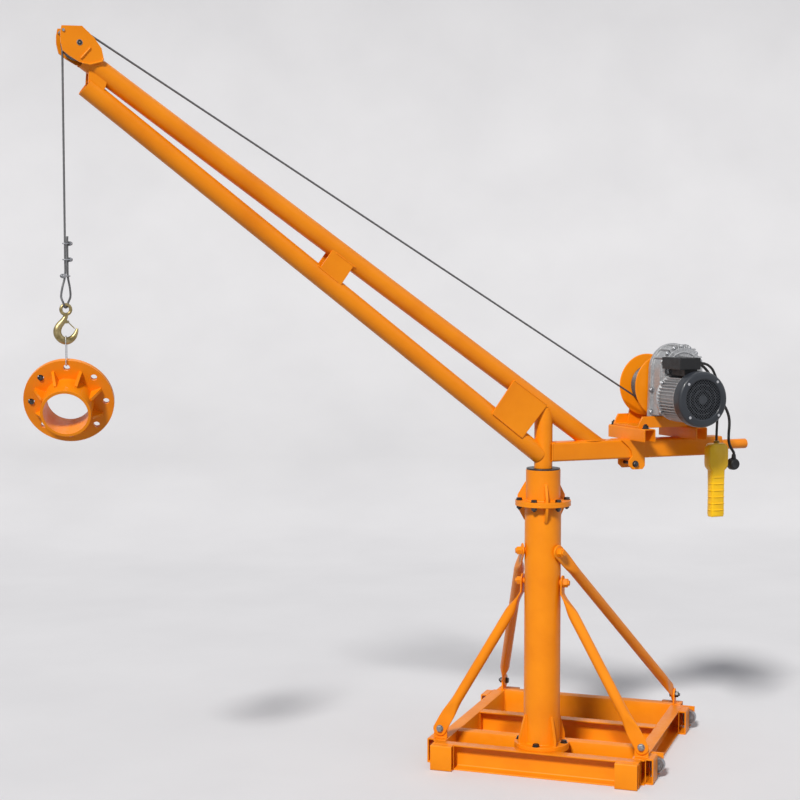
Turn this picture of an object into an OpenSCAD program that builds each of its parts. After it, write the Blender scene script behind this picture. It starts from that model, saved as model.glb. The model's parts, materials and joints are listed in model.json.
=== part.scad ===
// Portable mini crane: a square base of channels, a braced mast, a slewing
// boom of two tubes with a tip sheave, a tail beam with an electric hoist,
// and a hook that holds a spare flange.
// Millimetres. Origin on the mast axis at floor level, +Z up, boom along -X,
// hoist motor towards -Y.

/* [Base frame] */

// Turn of the base under the boom, degrees
base_turn = -42; // [-60:1:-30]
// Height of every base channel
channel_height = 80; // [70:1:90]
// Flange width of every base channel
channel_width = 40; // [35:1:45]
// Wall of every base channel
channel_wall = 5; // [4:0.5:6]
// Base width over the flanges of the side channels
base_width = 680; // [620:5:740]
// Mast axis to the front flange edge
front_reach = 102; // [96:1:112]
// Mast axis to the rear flange edge
rear_reach = 672; // [620:5:720]
// Mast axis to the web of the rear cross channel
cross_reach = 356; // [320:2:390]
// Length of each bumper piece
bumper_length = 70; // [60:1:80]
// How far a bumper stands out of the frame
bumper_proud = 25; // [20:1:30]

/* [Mast] */

// Mast tube outside diameter
mast_diameter = 114; // [106:1:120]
// Mast tube wall
mast_wall = 5; // [4:0.5:7]
// Height of the mast head
mast_top = 851; // [820:1:900]
// Diameter of the mast foot flange
foot_diameter = 172; // [166:1:184]
// Thickness of the mast foot flange
foot_thickness = 12; // [10:1:14]
// Diameter of the two flanges under the bearing
head_diameter = 174; // [166:1:180]
// Thickness of each of those flanges
head_thickness = 8; // [6:1:10]
// Height of the studs of the front braces
front_stud_height = 600; // [560:5:620]
// Height of the studs of the rear braces
rear_stud_height = 700; // [680:5:740]
// Brace tube outside diameter
brace_diameter = 33; // [28:1:36]

/* [Bearing] */

// Outside diameter of the bearing housing
housing_diameter = 108; // [100:1:116]
// Height of the bearing housing over its flange
housing_height = 101; // [90:1:104]

/* [Boom] */

// Outside diameter of both boom tubes and the slewing post
boom_tube = 57; // [52:1:60]
// Wall of the boom tubes
boom_wall = 4; // [3:0.5:5]
// Mast axis to the tube ends at the tip
boom_reach = 1421; // [1350:5:1480]
// Height of the upper tube's axis at the tip
tip_height = 2145; // [2080:5:2200]
// Drop from the upper to the lower tube's axis at the tip
tip_drop = 74; // [73:0.5:78]
// Height of the lower tube's axis where it meets the post
root_height = 991; // [986:1:1000]
// Pitch radius of the tip sheave
sheave_pitch = 41; // [38:0.5:42]

/* [Tail and hoist] */

// Width and height of the tail beam
tail_size = 60; // [56:1:64]
// Height of the tail beam's top face
tail_top = 1040; // [1036:1:1046]
// Mast axis to the end of the tail beam
tail_reach = 640; // [610:5:680]
// Length of the handle behind the tail beam
handle_length = 110; // [90:5:130]
// Mast axis to the drum axis
drum_reach = 400; // [390:1:410]
// Drum flange radius
drum_radius = 100; // [92:1:102]
// Hoist rope diameter
rope_diameter = 6; // [5:0.5:7]
// Motor fan cover diameter
fan_diameter = 172; // [166:1:178]

/* [Load] */

// Length of rope from the sheave axle to the first clip
fall_length = 536; // [480:5:620]
// Outside diameter of the spare flange on the hook
load_diameter = 250; // [236:1:264]
// Lean of the spare flange
load_tilt = 22; // [14:1:26]

/* [Hidden] */

$fn = 64;
e = 1;

// Base: web faces and flange edges
web_x = base_width / 2 - channel_width;
front_web = front_reach - channel_width;
rear_web = rear_reach - channel_width;
foot_z = channel_height;
foot_r = foot_diameter / 2;
mast_r = mast_diameter / 2;
head_r = head_diameter / 2;
mast_foot = foot_z + foot_thickness;
housing_z = mast_top + head_thickness;
housing_top = housing_z + housing_height;
housing_r = housing_diameter / 2;

// Boom lines in the plane y = 0
tube_r = boom_tube / 2;
beam_mid = tail_top - tail_size / 2;
tip_x = -boom_reach;
upper_tail_x = 165;
upper_slope = (tip_height - tail_top) / (upper_tail_x - tip_x);
lower_slope = (tip_height - tip_drop - root_height) / boom_reach;
upper_tilt = atan(upper_slope);
lower_tilt = atan(lower_slope);
function upper_z(x) = tail_top + (upper_tail_x - x) * upper_slope;
function lower_z(x) = root_height - x * lower_slope;
beam_start = tube_r * 0.55;

// Sheave and drum
sheave_x = tip_x - 20;
sheave_z = tip_height + 39;
sheave_r = sheave_pitch + rope_diameter / 2 + 0.5;
sheave_width = 20;
axle_r = 8;
rope_r = rope_diameter / 2;
cheek_in = tube_r - 1.5;
cheek_out = cheek_in + 6;
keeper_x = sheave_x - 44;
keeper_z = sheave_z + 31;
bar_size = 40;
bar_near = 1.24 * drum_radius;
bar_far = drum_radius;
tray_half = 0.78 * drum_radius;
tray_back = 1.05 * drum_radius;
tray_front = 1.15 * drum_radius;
base_z = tail_top + bar_size;
plate = 6;
drum_z = base_z + plate + 24 + drum_radius;
pack_r = 62.7;
run_r = pack_r + 0.3 + rope_r;
rope_angle = atan2(drum_z - sheave_z, drum_reach - sheave_x)
  - asin((sheave_pitch + run_r) / norm([drum_reach - sheave_x, drum_z - sheave_z]));
rope_n = [-sin(rope_angle), 0, cos(rope_angle)];
run_start = [sheave_x, 0, sheave_z] + sheave_pitch * rope_n;
run_end = [drum_reach, 0, drum_z] - run_r * rope_n;

// Hook and load, all hung from the first clip
fall_x = sheave_x - sheave_pitch;
clip_z = sheave_z - fall_length;
eye_z = clip_z - 189;
hook_low = eye_z - 97;
hole_z = hook_low - 61;
load_r = load_diameter / 2;
load_pitch = load_r - 22;
load_turn = -18;

// Hoist bodies
gear_near = -58;
gear_far = -130;
motor_near = -215;
fan_near = -287;
fan_back = -250;
motor_z = drum_z - 30;
fan_r = fan_diameter / 2;
motor_r = fan_r - 17;

// Routes of the two free cords, from a point over the motor
cord_origin = [drum_reach, 0, motor_z + motor_r];
power_route = [for (p = [
  [40, -160, 39], [52, -160, 38], [66, -160, 34], [82, -159, 24], [98, -158, 8], [108, -156, -8],
  [126, -148, -37], [142, -138, -63], [160, -130, -81], [180, -123, -97], [196, -120, -119],
  [204, -120, -141], [206, -120, -164], [204, -120, -194], [205, -120, -219], [212, -120, -237],
  [220, -120, -248], [224, -120, -255], [224, -120, -259.5]]) p + cord_origin];
pendant_route = [for (p = [
  [40, -205, 39], [53, -205, 37.5], [68, -204, 32], [84, -202, 20], [98, -197, 1], [110, -190, -21],
  [128, -172, -69], [140, -155, -99], [150, -138, -124], [156, -126, -149], [158, -121, -174],
  [158, -120, -194], [158, -120, -213.4]]) p + cord_origin];

// Helpers

module tube(d, wall, h) difference() {
  cylinder(d = d, h = h);
  translate([0, 0, -e]) cylinder(d = d - 2 * wall, h = h + 2 * e);
}

// Children stand on p with their Z axis towards q
module aim(p, q) {
  v = q - p;
  translate(p) rotate([0, acos(v[2] / norm(v)), atan2(v[1], v[0])]) children();
}

// A flat outline in X and Z, between two Y values
module slab(points, y0, y1)
  translate([0, y1, 0]) rotate([90, 0, 0]) linear_extrude(y1 - y0) polygon(points);

module sides(y0, y1, points) for (s = [-1, 1]) slab(points, min(s * y0, s * y1), max(s * y0, s * y1));

module on_base() rotate([0, 0, base_turn]) children();

// Web on the Y axis, open towards +X, running along +Y
module channel(length, width = channel_width) difference() {
  cube([width, length, channel_height]);
  translate([channel_wall, -e, channel_wall])
    cube([width, length + 2 * e, channel_height - 2 * channel_wall]);
}

function unit(v) = v / norm(v);
function ring(c, t, ref, r, k) = let (u = unit(cross(ref, t)), v = cross(t, u))
  [for (j = [0:k - 1]) c + r * (cos(360 * j / k) * u + sin(360 * j / k) * v)];
function lead(p, m) = let (n = len(p)) concat([p[0]], smooth(concat([p[0] + [2, 0, 0]], [for (i = [1:n - 2]) p[i]],
  [p[n - 1] + [0, 0, 2]]), m), [p[n - 1]]);
function smooth(p, m) = let (n = len(p)) concat([for (i = [0:n - 2], s = [0:m - 1])
  let (a = p[max(i - 1, 0)], b = p[i], c = p[i + 1], d = p[min(i + 2, n - 1)], t = s / m)
  0.5 * (2 * b + (c - a) * t + (2 * a - 5 * b + 4 * c - d) * t * t + (3 * b - a - 3 * c + d) * t * t * t)],
  [p[n - 1]]);

// A round tube swept along a path, radius per point
module sweep(path, radius, ref, k = 10) {
  n = len(path);
  pts = [for (i = [0:n - 1]) each ring(path[i],
    unit(path[min(i + 1, n - 1)] - path[max(i - 1, 0)]), ref, is_list(radius) ? radius[i] : radius, k)];
  polyhedron(points = pts, faces = concat([[for (j = [0:k - 1]) j]],
    [for (i = [0:n - 2], j = [0:k - 1]) [i * k + j, (i + 1) * k + j, (i + 1) * k + (j + 1) % k]],
    [for (i = [0:n - 2], j = [0:k - 1]) [i * k + j, (i + 1) * k + (j + 1) % k, i * k + (j + 1) % k]],
    [[for (j = [k - 1:-1:0]) (n - 1) * k + j]]));
}

module upper_bore(d) translate([tip_x, 0, tip_height]) rotate([0, 90 + upper_tilt, 0]) cylinder(d = d, h = 1.55 * boom_reach);
module lower_bore(d) translate([tip_x, 0, tip_height - tip_drop]) rotate([0, 90 + lower_tilt, 0]) cylinder(d = d, h = 1.4 * boom_reach);
module post_bore(d) translate([0, 0, housing_z]) cylinder(d = d, h = 400);

// Base body

module front_channel() color("darkorange") on_base()
  translate([-web_x - channel_width + 10, -front_web, 0]) rotate([0, 0, -90])
    channel(2 * (web_x + channel_width - 10));

module rear_channel() color("darkorange") on_base()
  translate([web_x + channel_width - 10, rear_web, 0]) rotate([0, 0, 90])
    channel(2 * (web_x + channel_width - 10));

module right_channel() color("darkorange") on_base()
  translate([web_x, -front_web, 0]) channel(front_web + rear_web);

module left_channel() color("darkorange") on_base()
  mirror([1, 0, 0]) translate([web_x, -front_web, 0]) channel(front_web + rear_web);

module front_cross_channel() color("darkorange") on_base()
  translate([web_x, front_web, 0]) rotate([0, 0, 90]) channel(2 * web_x);

module rear_cross_channel() color("darkorange") on_base()
  translate([-web_x, cross_reach, 0]) rotate([0, 0, -90]) channel(2 * web_x);

// A short channel with its web outwards, butting on the flange edges
module bumper() translate([bumper_proud, 0, 0]) mirror([1, 0, 0]) channel(bumper_length, bumper_proud);

module corner_bumpers() color("darkorange") on_base() {
  for (s = [0, 1]) mirror([s, 0, 0]) {
    translate([base_width / 2, -front_web + 12, 0]) bumper();
    translate([base_width / 2, rear_web - 12 - bumper_length, 0]) bumper();
    translate([web_x + channel_width - 10, -front_reach, 0]) rotate([0, 0, -90])
      mirror([0, 1, 0]) bumper();
    translate([web_x + channel_width - 10, rear_reach, 0]) rotate([0, 0, 90]) bumper();
  }
}

lug_z = channel_height + 32;
front_lug = [web_x + 25, -front_web + 26, lug_z];
rear_lug = [web_x + 11, rear_web + 20, lug_z];
tongue = 5;

// Upright ears for the brace feet
lug_half = 0.275 * channel_height;
lug_top = 0.25 * channel_height;
module brace_lugs() color("darkorange") on_base() for (s = [0, 1]) mirror([s, 0, 0]) {
  translate([front_lug[0], front_lug[1], 0]) difference() {
    slab([[-lug_half, channel_height], [lug_half, channel_height], [lug_half, lug_z + 4], [lug_half - 14, lug_z + lug_top],
      [14 - lug_half, lug_z + lug_top], [-lug_half, lug_z + 4]], 0, 6);
    translate([0, -e, lug_z]) rotate([-90, 0, 0]) cylinder(d = 13, h = 8 + e);
  }
  translate([rear_lug[0], rear_lug[1], 0]) rotate([0, 0, 90]) difference() {
    slab([[-lug_half, channel_height], [lug_half - 4, channel_height], [lug_half - 4, lug_z + 4], [lug_half - 14, lug_z + lug_top],
      [14 - lug_half, lug_z + lug_top], [-lug_half, lug_z + 4]], 0, 6);
    translate([0, -e, lug_z]) rotate([-90, 0, 0]) cylinder(d = 13, h = 8 + e);
  }
}

// Two side rollers in the open side of the right channel, and the plates
// that carry their axles
wheel_x = base_width / 2 + 20;
wheel_z = channel_height / 2;
wheel_r = channel_height / 2 - channel_wall - 10;
wheel_width = 22;
wheel_y = [-front_web + 88, rear_web - 6];
module wheel_bracket() {
  difference() {
    translate([web_x + channel_wall, 0, channel_wall]) cube([wheel_x + 18 - web_x - channel_wall, 6, channel_height - 2 * channel_wall]);
    translate([wheel_x + 6, -e, channel_wall - e]) cube([40, 6 + 2 * e, 14]);
  }
}
module wheel_brackets() color("darkorange") on_base() {
  translate([0, wheel_y[0] + wheel_width + 2, 0]) wheel_bracket();
  translate([0, wheel_y[1] + wheel_width + 2, 0]) difference() {
    wheel_bracket();
    translate([web_x, -e, 0]) cube([channel_width - 10 - 0.5, 6 + 2 * e, channel_height]);
  }
  for (y = wheel_y) translate([wheel_x, y - 5, wheel_z]) rotate([-90, 0, 0]) cylinder(r = 6, h = wheel_width + 9);
}
module wheel() rotate([-90, 0, 0]) difference() {
  cylinder(r = wheel_r, h = wheel_width);
  translate([0, 0, -e]) cylinder(r = 6.4, h = wheel_width + 2 * e);
}
module front_wheel() color("silver") on_base() translate([wheel_x, wheel_y[0], wheel_z]) wheel();
module rear_wheel() color("silver") on_base() translate([wheel_x, wheel_y[1], wheel_z]) wheel();

module mast_seat() color("darkorange") on_base() intersection() {
  translate([0, 0, channel_height - 8]) cylinder(r = foot_r, h = 8);
  translate([-foot_r, -front_web, 0]) cube([2 * foot_r, 2 * front_web, channel_height]);
}

// Flange, four stiffeners and a hole for each bolt
module mast_foot() color("darkorange") on_base() {
  translate([0, 0, foot_z]) difference() {
    cylinder(r = foot_r, h = foot_thickness);
    for (a = [0:90:270]) rotate([0, 0, a]) translate([foot_r - 14, 0, -e])
      cylinder(d = 13, h = foot_thickness + 2 * e);
  }
  for (a = [45:90:315]) rotate([0, 0, a]) difference() {
    slab([[mast_r - 3, mast_foot - e], [foot_r - 3, mast_foot - e], [foot_r - 3, mast_foot + 18],
      [mast_r + 6, mast_foot + 90], [mast_r - 3, mast_foot + 90]], -4, 4);
    translate([0, 0, mast_foot - 2 * e]) cylinder(r = mast_r, h = 200);
  }
}

stud_out = mast_r + 30;
stud_turn = -25;

// Tube with the four brace studs
module mast_tube() color("darkorange") on_base() {
  translate([0, 0, mast_foot]) tube(mast_diameter, mast_wall, mast_top - head_thickness - mast_foot);
  for (s = [[0, front_stud_height], [180, front_stud_height], [stud_turn, rear_stud_height],
    [180 - stud_turn, rear_stud_height]])
    translate([0, 0, s[1]]) rotate([0, 90, s[0]]) difference() {
      cylinder(d = 16, h = stud_out);
      translate([0, 0, -e]) cylinder(r = mast_r - 2, h = mast_r - 2 + e);
    }
}

module mast_head() color("darkorange") {
  translate([0, 0, mast_top - head_thickness]) difference() {
    cylinder(r = head_r, h = head_thickness);
    translate([0, 0, -e]) cylinder(r = 40, h = head_thickness + 2 * e);
    for (a = [41:60:341]) rotate([0, 0, a]) translate([head_r - 12, 0, -e])
      cylinder(d = 11, h = head_thickness + 2 * e);
  }
  for (a = [11, 131, 251]) rotate([0, 0, a]) difference() {
    slab([[mast_r - 3, mast_top - head_thickness + e], [head_r - 2, mast_top - head_thickness + e],
      [head_r - 2, mast_top - head_thickness - 12], [mast_r + 5, mast_top - head_thickness - 50],
      [mast_r - 3, mast_top - head_thickness - 50]], -4, 4);
    translate([0, 0, mast_top - 200]) cylinder(r = mast_r, h = 200);
  }
}

// One section of a tube that is pressed flat: a circle of radius b whose
// halves are pushed apart by su across or by sv along
function pressed(c, t, su, sv, b, n = [1, 0, 0]) = let (u = unit(cross(n, t)), v = cross(t, u))
  [for (j = [0:23]) let (a = 7.5 + 15 * j)
    c + (sign(cos(a)) * su + b * cos(a)) * u + (sign(sin(a)) * sv + b * sin(a)) * v];

module loft(rings) {
  n = len(rings);
  k = len(rings[0]);
  polyhedron(points = [for (r = rings) each r], faces = concat([[for (j = [0:k - 1]) j]],
    [for (i = [0:n - 2], j = [0:k - 1]) [i * k + j, (i + 1) * k + j, (i + 1) * k + (j + 1) % k]],
    [for (i = [0:n - 2], j = [0:k - 1]) [i * k + j, (i + 1) * k + (j + 1) % k, i * k + (j + 1) % k]],
    [[for (j = [k - 1:-1:0]) (n - 1) * k + j]]));
}

// A round tube pressed flat at both ends: one tongue on a mast stud, one on
// a lug of the frame
module brace(stud_z, lug, low_plane, turn = 0) {
  r = brace_diameter / 2;
  thin = tongue / 2;
  wide = (brace_diameter - tongue) * 0.7;
  face = [cos(turn), sin(turn), 0];
  top = (mast_r + 5 + thin) * face + [0, 0, stud_z];
  low = lug;
  v0 = unit(low - top);
  d1 = unit(v0 - (v0 * face) * face);
  d2 = low_plane == "y" ? unit([v0[0], 0, v0[2]]) : unit([0, v0[1], v0[2]]);
  a1 = top + 34 * d1;
  b1 = low - 34 * d2;
  v = unit(b1 - a1);
  y = low_plane == "y";
  difference() {
    loft([
      pressed(top - 23 * d1, d1, wide - 7, 0, thin, face), pressed(top - 20 * d1, d1, wide - 2, 0, thin, face),
      pressed(top - 14 * d1, d1, wide, 0, thin, face), pressed(top + 24 * d1, d1, wide, 0, thin, face),
      pressed(a1, unit(d1 + v), wide, 0, thin, face), pressed(a1 + 12 * v, v, wide, 0, thin + 0.3, face),
      pressed(a1 + 30 * v, v, wide * 0.78, 0, thin + (r - thin) * 0.3, face),
      pressed(a1 + 50 * v, v, wide * 0.4, 0, thin + (r - thin) * 0.7, face),
      pressed(a1 + 70 * v, v, wide * 0.1, 0, thin + (r - thin) * 0.95, face), pressed(a1 + 80 * v, v, 0, 0, r, face),
      pressed(b1 - 80 * v, v, 0, 0, r),
      pressed(b1 - 70 * v, v, y ? 0 : wide * 0.1, y ? wide * 0.1 : 0, thin + (r - thin) * 0.95),
      pressed(b1 - 50 * v, v, y ? 0 : wide * 0.4, y ? wide * 0.4 : 0, thin + (r - thin) * 0.7),
      pressed(b1 - 30 * v, v, y ? 0 : wide * 0.78, y ? wide * 0.78 : 0, thin + (r - thin) * 0.3),
      pressed(b1 - 12 * v, v, y ? 0 : wide, y ? wide : 0, thin + 0.3),
      pressed(b1, unit(d2 + v), y ? 0 : wide, y ? wide : 0, thin),
      pressed(b1 + 10 * d2, d2, y ? 0 : wide, y ? wide : 0, thin),
      pressed(low + 14 * d2, d2, y ? 0 : wide, y ? wide : 0, thin),
      pressed(low + 20 * d2, d2, y ? 0 : wide - 2, y ? wide - 2 : 0, thin),
      pressed(low + 23 * d2, d2, y ? 0 : wide - 7, y ? wide - 7 : 0, thin)]);
    translate(top) rotate([0, 90, turn]) cylinder(d = 17, h = 60, center = true);
    translate(low) rotate(y ? [90, 0, 0] : [0, 90, 0]) cylinder(d = 13, h = 60, center = true);
  }
}

front_seat = front_lug - [0, tongue / 2, 0];
rear_seat = rear_lug + [-6 - tongue / 2, 0, 0];

module brace_front_right() color("darkorange") on_base() brace(front_stud_height, front_seat, "y");
module brace_front_left() color("darkorange") on_base() mirror([1, 0, 0]) brace(front_stud_height, front_seat, "y");
module brace_rear_right() color("darkorange") on_base() brace(rear_stud_height, rear_seat, "x", stud_turn);
module brace_rear_left() color("darkorange") on_base() mirror([1, 0, 0]) brace(rear_stud_height, rear_seat, "x", stud_turn);

module bearing_housing() color("darkorange") {
  translate([0, 0, mast_top]) difference() {
    cylinder(r = head_r, h = head_thickness);
    translate([0, 0, -e]) cylinder(r = 40, h = head_thickness + 2 * e);
    for (a = [41:60:341]) rotate([0, 0, a]) translate([head_r - 12, 0, -e])
      cylinder(d = 11, h = head_thickness + 2 * e);
  }
  translate([0, 0, housing_z]) tube(housing_diameter, 9, housing_height - 5);
  for (a = [11, 131, 251]) rotate([0, 0, a])
    slab([[housing_r - 4, housing_z - e], [head_r - 2, housing_z - e], [head_r - 2, housing_z + 12],
      [housing_r + 5, housing_z + 55], [housing_r - 4, housing_z + 55]], -4, 4);
}

module bearing_cap() color("dimgray") translate([0, 0, housing_top - 5]) difference() {
  cylinder(d = housing_diameter - 3, h = 5);
  translate([0, 0, -e]) cylinder(r = tube_r + 1, h = 7);
}

// Slewing body

module slew_post() color("darkorange") difference() {
  translate([0, 0, housing_z + 16]) tube(boom_tube, 6, upper_z(0) - 0.5 - housing_z - 16);
  upper_bore(boom_tube);
}

module upper_boom_tube() color("darkorange") difference() {
  upper_bore(boom_tube);
  translate([0, 0, 0]) upper_bore(boom_tube - 2 * boom_wall);
  translate([-4 * boom_tube, -4 * boom_tube, tail_top - boom_reach / 2]) cube([boom_reach, 8 * boom_tube, boom_reach / 2]);
  translate([sheave_x, 0, sheave_z]) rotate([90, 0, 0]) cylinder(r = sheave_r + 5.5, h = sheave_width + 10, center = true);
}

module lower_boom_tube() color("darkorange") difference() {
  translate([tip_x, 0, tip_height - tip_drop]) rotate([0, 90 + lower_tilt, 0])
    tube(boom_tube, boom_wall, (boom_reach - tube_r * 0.45) / cos(lower_tilt));
  post_bore(boom_tube);
}

module root_plates() color("darkorange") difference() {
  slab([[-119, upper_z(-119)], [-4, upper_z(-4)], [-89, lower_z(-89)], [-193, lower_z(-193)]], -tube_r - 3.5, 1.5 - tube_r);
  slab([[-107, upper_z(-107)], [-4, upper_z(-4)], [-89, lower_z(-89)], [-181, lower_z(-181)]], tube_r - 1.5, tube_r + 3.5);
  upper_bore(boom_tube);
  lower_bore(boom_tube);
  post_bore(boom_tube);
}

mid_x = -695;
module middle_plates() color("darkorange") difference() {
  sides(tube_r - 9.5, tube_r - 3.5, [[mid_x - 4, upper_z(mid_x - 4)], [mid_x + 61, upper_z(mid_x + 61)],
    [mid_x + 4, lower_z(mid_x + 4)], [mid_x - 61, lower_z(mid_x - 61)]]);
  upper_bore(boom_tube);
  lower_bore(boom_tube);
}

module tip_plates() color("darkorange") difference() {
  sides(tube_r - 14, tube_r - 8, [[tip_x + 9, upper_z(tip_x + 9)], [tip_x + 62, upper_z(tip_x + 62)],
    [tip_x + 52, lower_z(tip_x + 52) + 36], [tip_x + 38, lower_z(tip_x + 38)], [tip_x + 4, lower_z(tip_x + 4)]]);
  upper_bore(boom_tube);
  lower_bore(boom_tube);
}

module sheave_cheeks() color("darkorange") difference() {
  translate([sheave_x, 0, sheave_z]) sides(cheek_in, cheek_out, [[-48, 43], [7, 45], [40, 15], [60, -13],
    [65, -37], [61, -48], [28, -58], [0, -53], [-27, -38], [-46, -24], [-52, 2], [-52, 22]]);
  upper_bore(boom_tube);
  translate([sheave_x, 0, sheave_z]) rotate([90, 0, 0]) cylinder(r = axle_r, h = 100, center = true);
  translate([keeper_x, 0, keeper_z]) rotate([90, 0, 0]) cylinder(r = 4, h = 100, center = true);
}

// Axle and rope keeper
module sheave_pins() color("dimgray") {
  translate([sheave_x, 0, sheave_z]) rotate([90, 0, 0]) cylinder(r = axle_r, h = 2 * cheek_out + 2, center = true);
  translate([keeper_x, 0, keeper_z]) rotate([90, 0, 0]) cylinder(r = 4, h = 2 * cheek_out + 6, center = true);
}

module tail_beam() color("darkorange") difference() {
  translate([beam_start, -tail_size / 2, tail_top - tail_size]) cube([tail_reach - beam_start, tail_size, tail_size]);
  translate([beam_start - e, -tail_size / 2 + 4, tail_top - tail_size + 4])
    cube([tail_reach - beam_start - 4, tail_size - 8, tail_size - 8]);
  post_bore(boom_tube);
}

module tail_handle() color("darkorange") translate([tail_reach, 0, beam_mid]) rotate([0, 90, 0]) tube(32, 3, handle_length);

module hoist_crossbars() color("darkorange") for (x = [drum_reach - 110, drum_reach + 80])
  translate([x, -bar_near, tail_top]) difference() {
    cube([bar_size, bar_near + bar_far, bar_size]);
    translate([3, -e, -e]) cube([bar_size - 6, bar_near + bar_far + 2 * e, bar_size - 3 + e]);
  }

// Two plates that hang from the front bar, one each side of the tail beam
module tail_clamps() color("darkorange") for (s = [0, 1]) mirror([0, s, 0])
  translate([0, tail_size / 2, 0]) difference() {
    slab([[drum_reach - 140, tail_top], [drum_reach - 54, tail_top], [drum_reach - 54, tail_top - 84],
      [drum_reach - 62, tail_top - 95], [drum_reach - 98, tail_top - 95], [drum_reach - 112, tail_top - 82],
      [drum_reach - 112, tail_top - 66], [drum_reach - 100, tail_top - 52], [drum_reach - 104, tail_top - 34],
      [drum_reach - 118, tail_top - 18]], 0, 6);
    translate([drum_reach - 90, -e, tail_top - tail_size - 17]) rotate([-90, 0, 0]) cylinder(d = 11, h = 8 + e);
  }

// Tray under the drum, with raised long sides
module hoist_base() color("darkorange") {
  translate([drum_reach - tray_back, -tray_half, base_z]) cube([tray_back + tray_front, 2 * tray_half, plate]);
  for (y = [-tray_half, tray_half - plate]) translate([0, y, 0]) slab([[drum_reach - tray_back, base_z + plate],
    [drum_reach + tray_front, base_z + plate], [drum_reach + tray_front - 15, base_z + 6 * plate],
    [drum_reach - tray_back + 15, base_z + 6 * plate]], 0, plate);
}

module drum_bracket() color("darkorange") translate([0, 62, 0]) difference() {
  slab([[drum_reach - 60, base_z + plate], [drum_reach + 60, base_z + plate], [drum_reach + 34, drum_z + 20],
    [drum_reach + 20, drum_z + 34], [drum_reach - 20, drum_z + 34], [drum_reach - 34, drum_z + 20]], 0, 8);
  translate([drum_reach, -e, drum_z]) rotate([-90, 0, 0]) cylinder(r = 13, h = 12);
}

// Casting with an arched top on a flat mounting flange
gear_x = drum_reach + 0.26 * drum_radius;
gear_z = drum_z + 0.53 * drum_radius;
gear_r = 0.84 * drum_radius;
function arch(r, foot, low) = concat([[gear_x - foot, low]], [for (a = [180:-12:0]) [gear_x + r * cos(a), gear_z + r * sin(a)]],
  [[gear_x + foot, low]]);
module gearbox() color("lightgray") {
  slab(arch(gear_r, gear_r + 4, base_z + plate + 30), gear_near - 14, gear_near);
  slab(arch(gear_r - 8, gear_r - 6, base_z + plate + 36), gear_far + 16, gear_near - 13);
  slab(arch(gear_r - 14, gear_r - 14, base_z + plate + 44), gear_far, gear_far + 17);
  for (a = [30:24:150]) translate([gear_x, 0, gear_z]) rotate([0, -a, 0])
    translate([gear_r - 18, gear_far + 6, -2]) cube([16, gear_near - gear_far - 12, 4]);
  translate([drum_reach, gear_near + 3, drum_z]) rotate([90, 0, 0]) cylinder(r = 25, h = 4);
}

module motor_body() color("lightgray") {
  translate([drum_reach, gear_far, motor_z]) rotate([90, 0, 0]) cylinder(r = motor_r, h = gear_far - fan_back);
  translate([drum_reach, fan_back + 5, motor_z]) rotate([90, 0, 0]) cylinder(r = fan_r - 1, h = 5);
  for (a = [124:14:418]) translate([drum_reach, 0, motor_z]) rotate([0, -a, 0])
    translate([motor_r - 3, fan_back + 2, -1.5]) cube([11, gear_far - 10 - fan_back, 3]);
}

// Drum with the hollow hub; pins turn in the bracket and the gearbox
module hoist_drum() color("darkorange") translate([drum_reach, 0, drum_z]) rotate([90, 0, 0]) {
  for (z = [-50, 46]) translate([0, 0, z]) cylinder(r = drum_radius, h = 4);
  translate([0, 0, -46]) cylinder(r = 45, h = 92);
  translate([0, 0, -76]) cylinder(r = 12, h = 26);
}

module drum_rope() color("dimgray") translate([drum_reach, 0, drum_z]) rotate([90, 0, 0]) translate([0, 0, -45.5]) difference() {
  cylinder(r = pack_r, h = 91);
  translate([0, 0, -e]) cylinder(r = 45, h = 91 + 2 * e);
}

// Pressed cup with a rounded front edge
module fan_cover() color("dimgray") translate([drum_reach, fan_back, motor_z]) rotate([90, 0, 0]) rotate_extrude() polygon([
  [fan_r - 3, 0], [fan_r, 0], [fan_r, fan_back - fan_near - 9], [fan_r - 1.5, fan_back - fan_near - 3.5], [fan_r - 6, fan_back - fan_near],
  [0, fan_back - fan_near], [0, fan_back - fan_near - 3], [fan_r - 7, fan_back - fan_near - 3], [fan_r - 4.5, fan_back - fan_near - 5.5],
  [fan_r - 3, fan_back - fan_near - 10]]);

// Box on a short neck over the motor
module capacitor_box() color("dimgray") {
  translate([drum_reach - 54, fan_back + 14, motor_z + motor_r + 21]) cube([74, gear_far - 2 - fan_back - 14, 36]);
  translate([drum_reach - 30, fan_back + 26, motor_z + motor_r + 0.3]) cube([46, gear_far - 16 - fan_back - 26, 22]);
  for (p = [power_route[0], pendant_route[0]]) translate([p[0] - 21, p[1], p[2]]) rotate([0, 90, 0])
    cylinder(r1 = 9, r2 = 6.5, h = 21);
}

module tip_sheave() color("gray") translate([sheave_x, 0, sheave_z]) rotate([90, 0, 0]) rotate_extrude() polygon([
  [axle_r + 0.3, -sheave_width / 2], [sheave_r, -sheave_width / 2], [sheave_r, -rope_r - 2], [sheave_pitch - rope_r - 0.3, -rope_r],
  [sheave_pitch - rope_r - 0.3, rope_r], [sheave_r, rope_r + 2], [sheave_r, sheave_width / 2], [axle_r + 0.3, sheave_width / 2]]);

// Rope from the drum, over the sheave, to the top of the fall
wrap_from = 90 + rope_angle;
module boom_rope() color("dimgray") sweep(concat([run_end, 0.3 * run_end + 0.7 * run_start],
  [for (i = [0:20]) let (a = wrap_from + (176 - wrap_from) * i / 20)
    [sheave_x + sheave_pitch * cos(a), 0, sheave_z + sheave_pitch * sin(a)]],
  [[fall_x, 0, sheave_z + 1.5], [fall_x, 0, sheave_z + 0.3]]), rope_r, [0, 1, 0], 12);

module fall_rope() color("dimgray") translate([fall_x, 0, clip_z]) cylinder(r = rope_r, h = fall_length);

// Hook body

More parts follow.
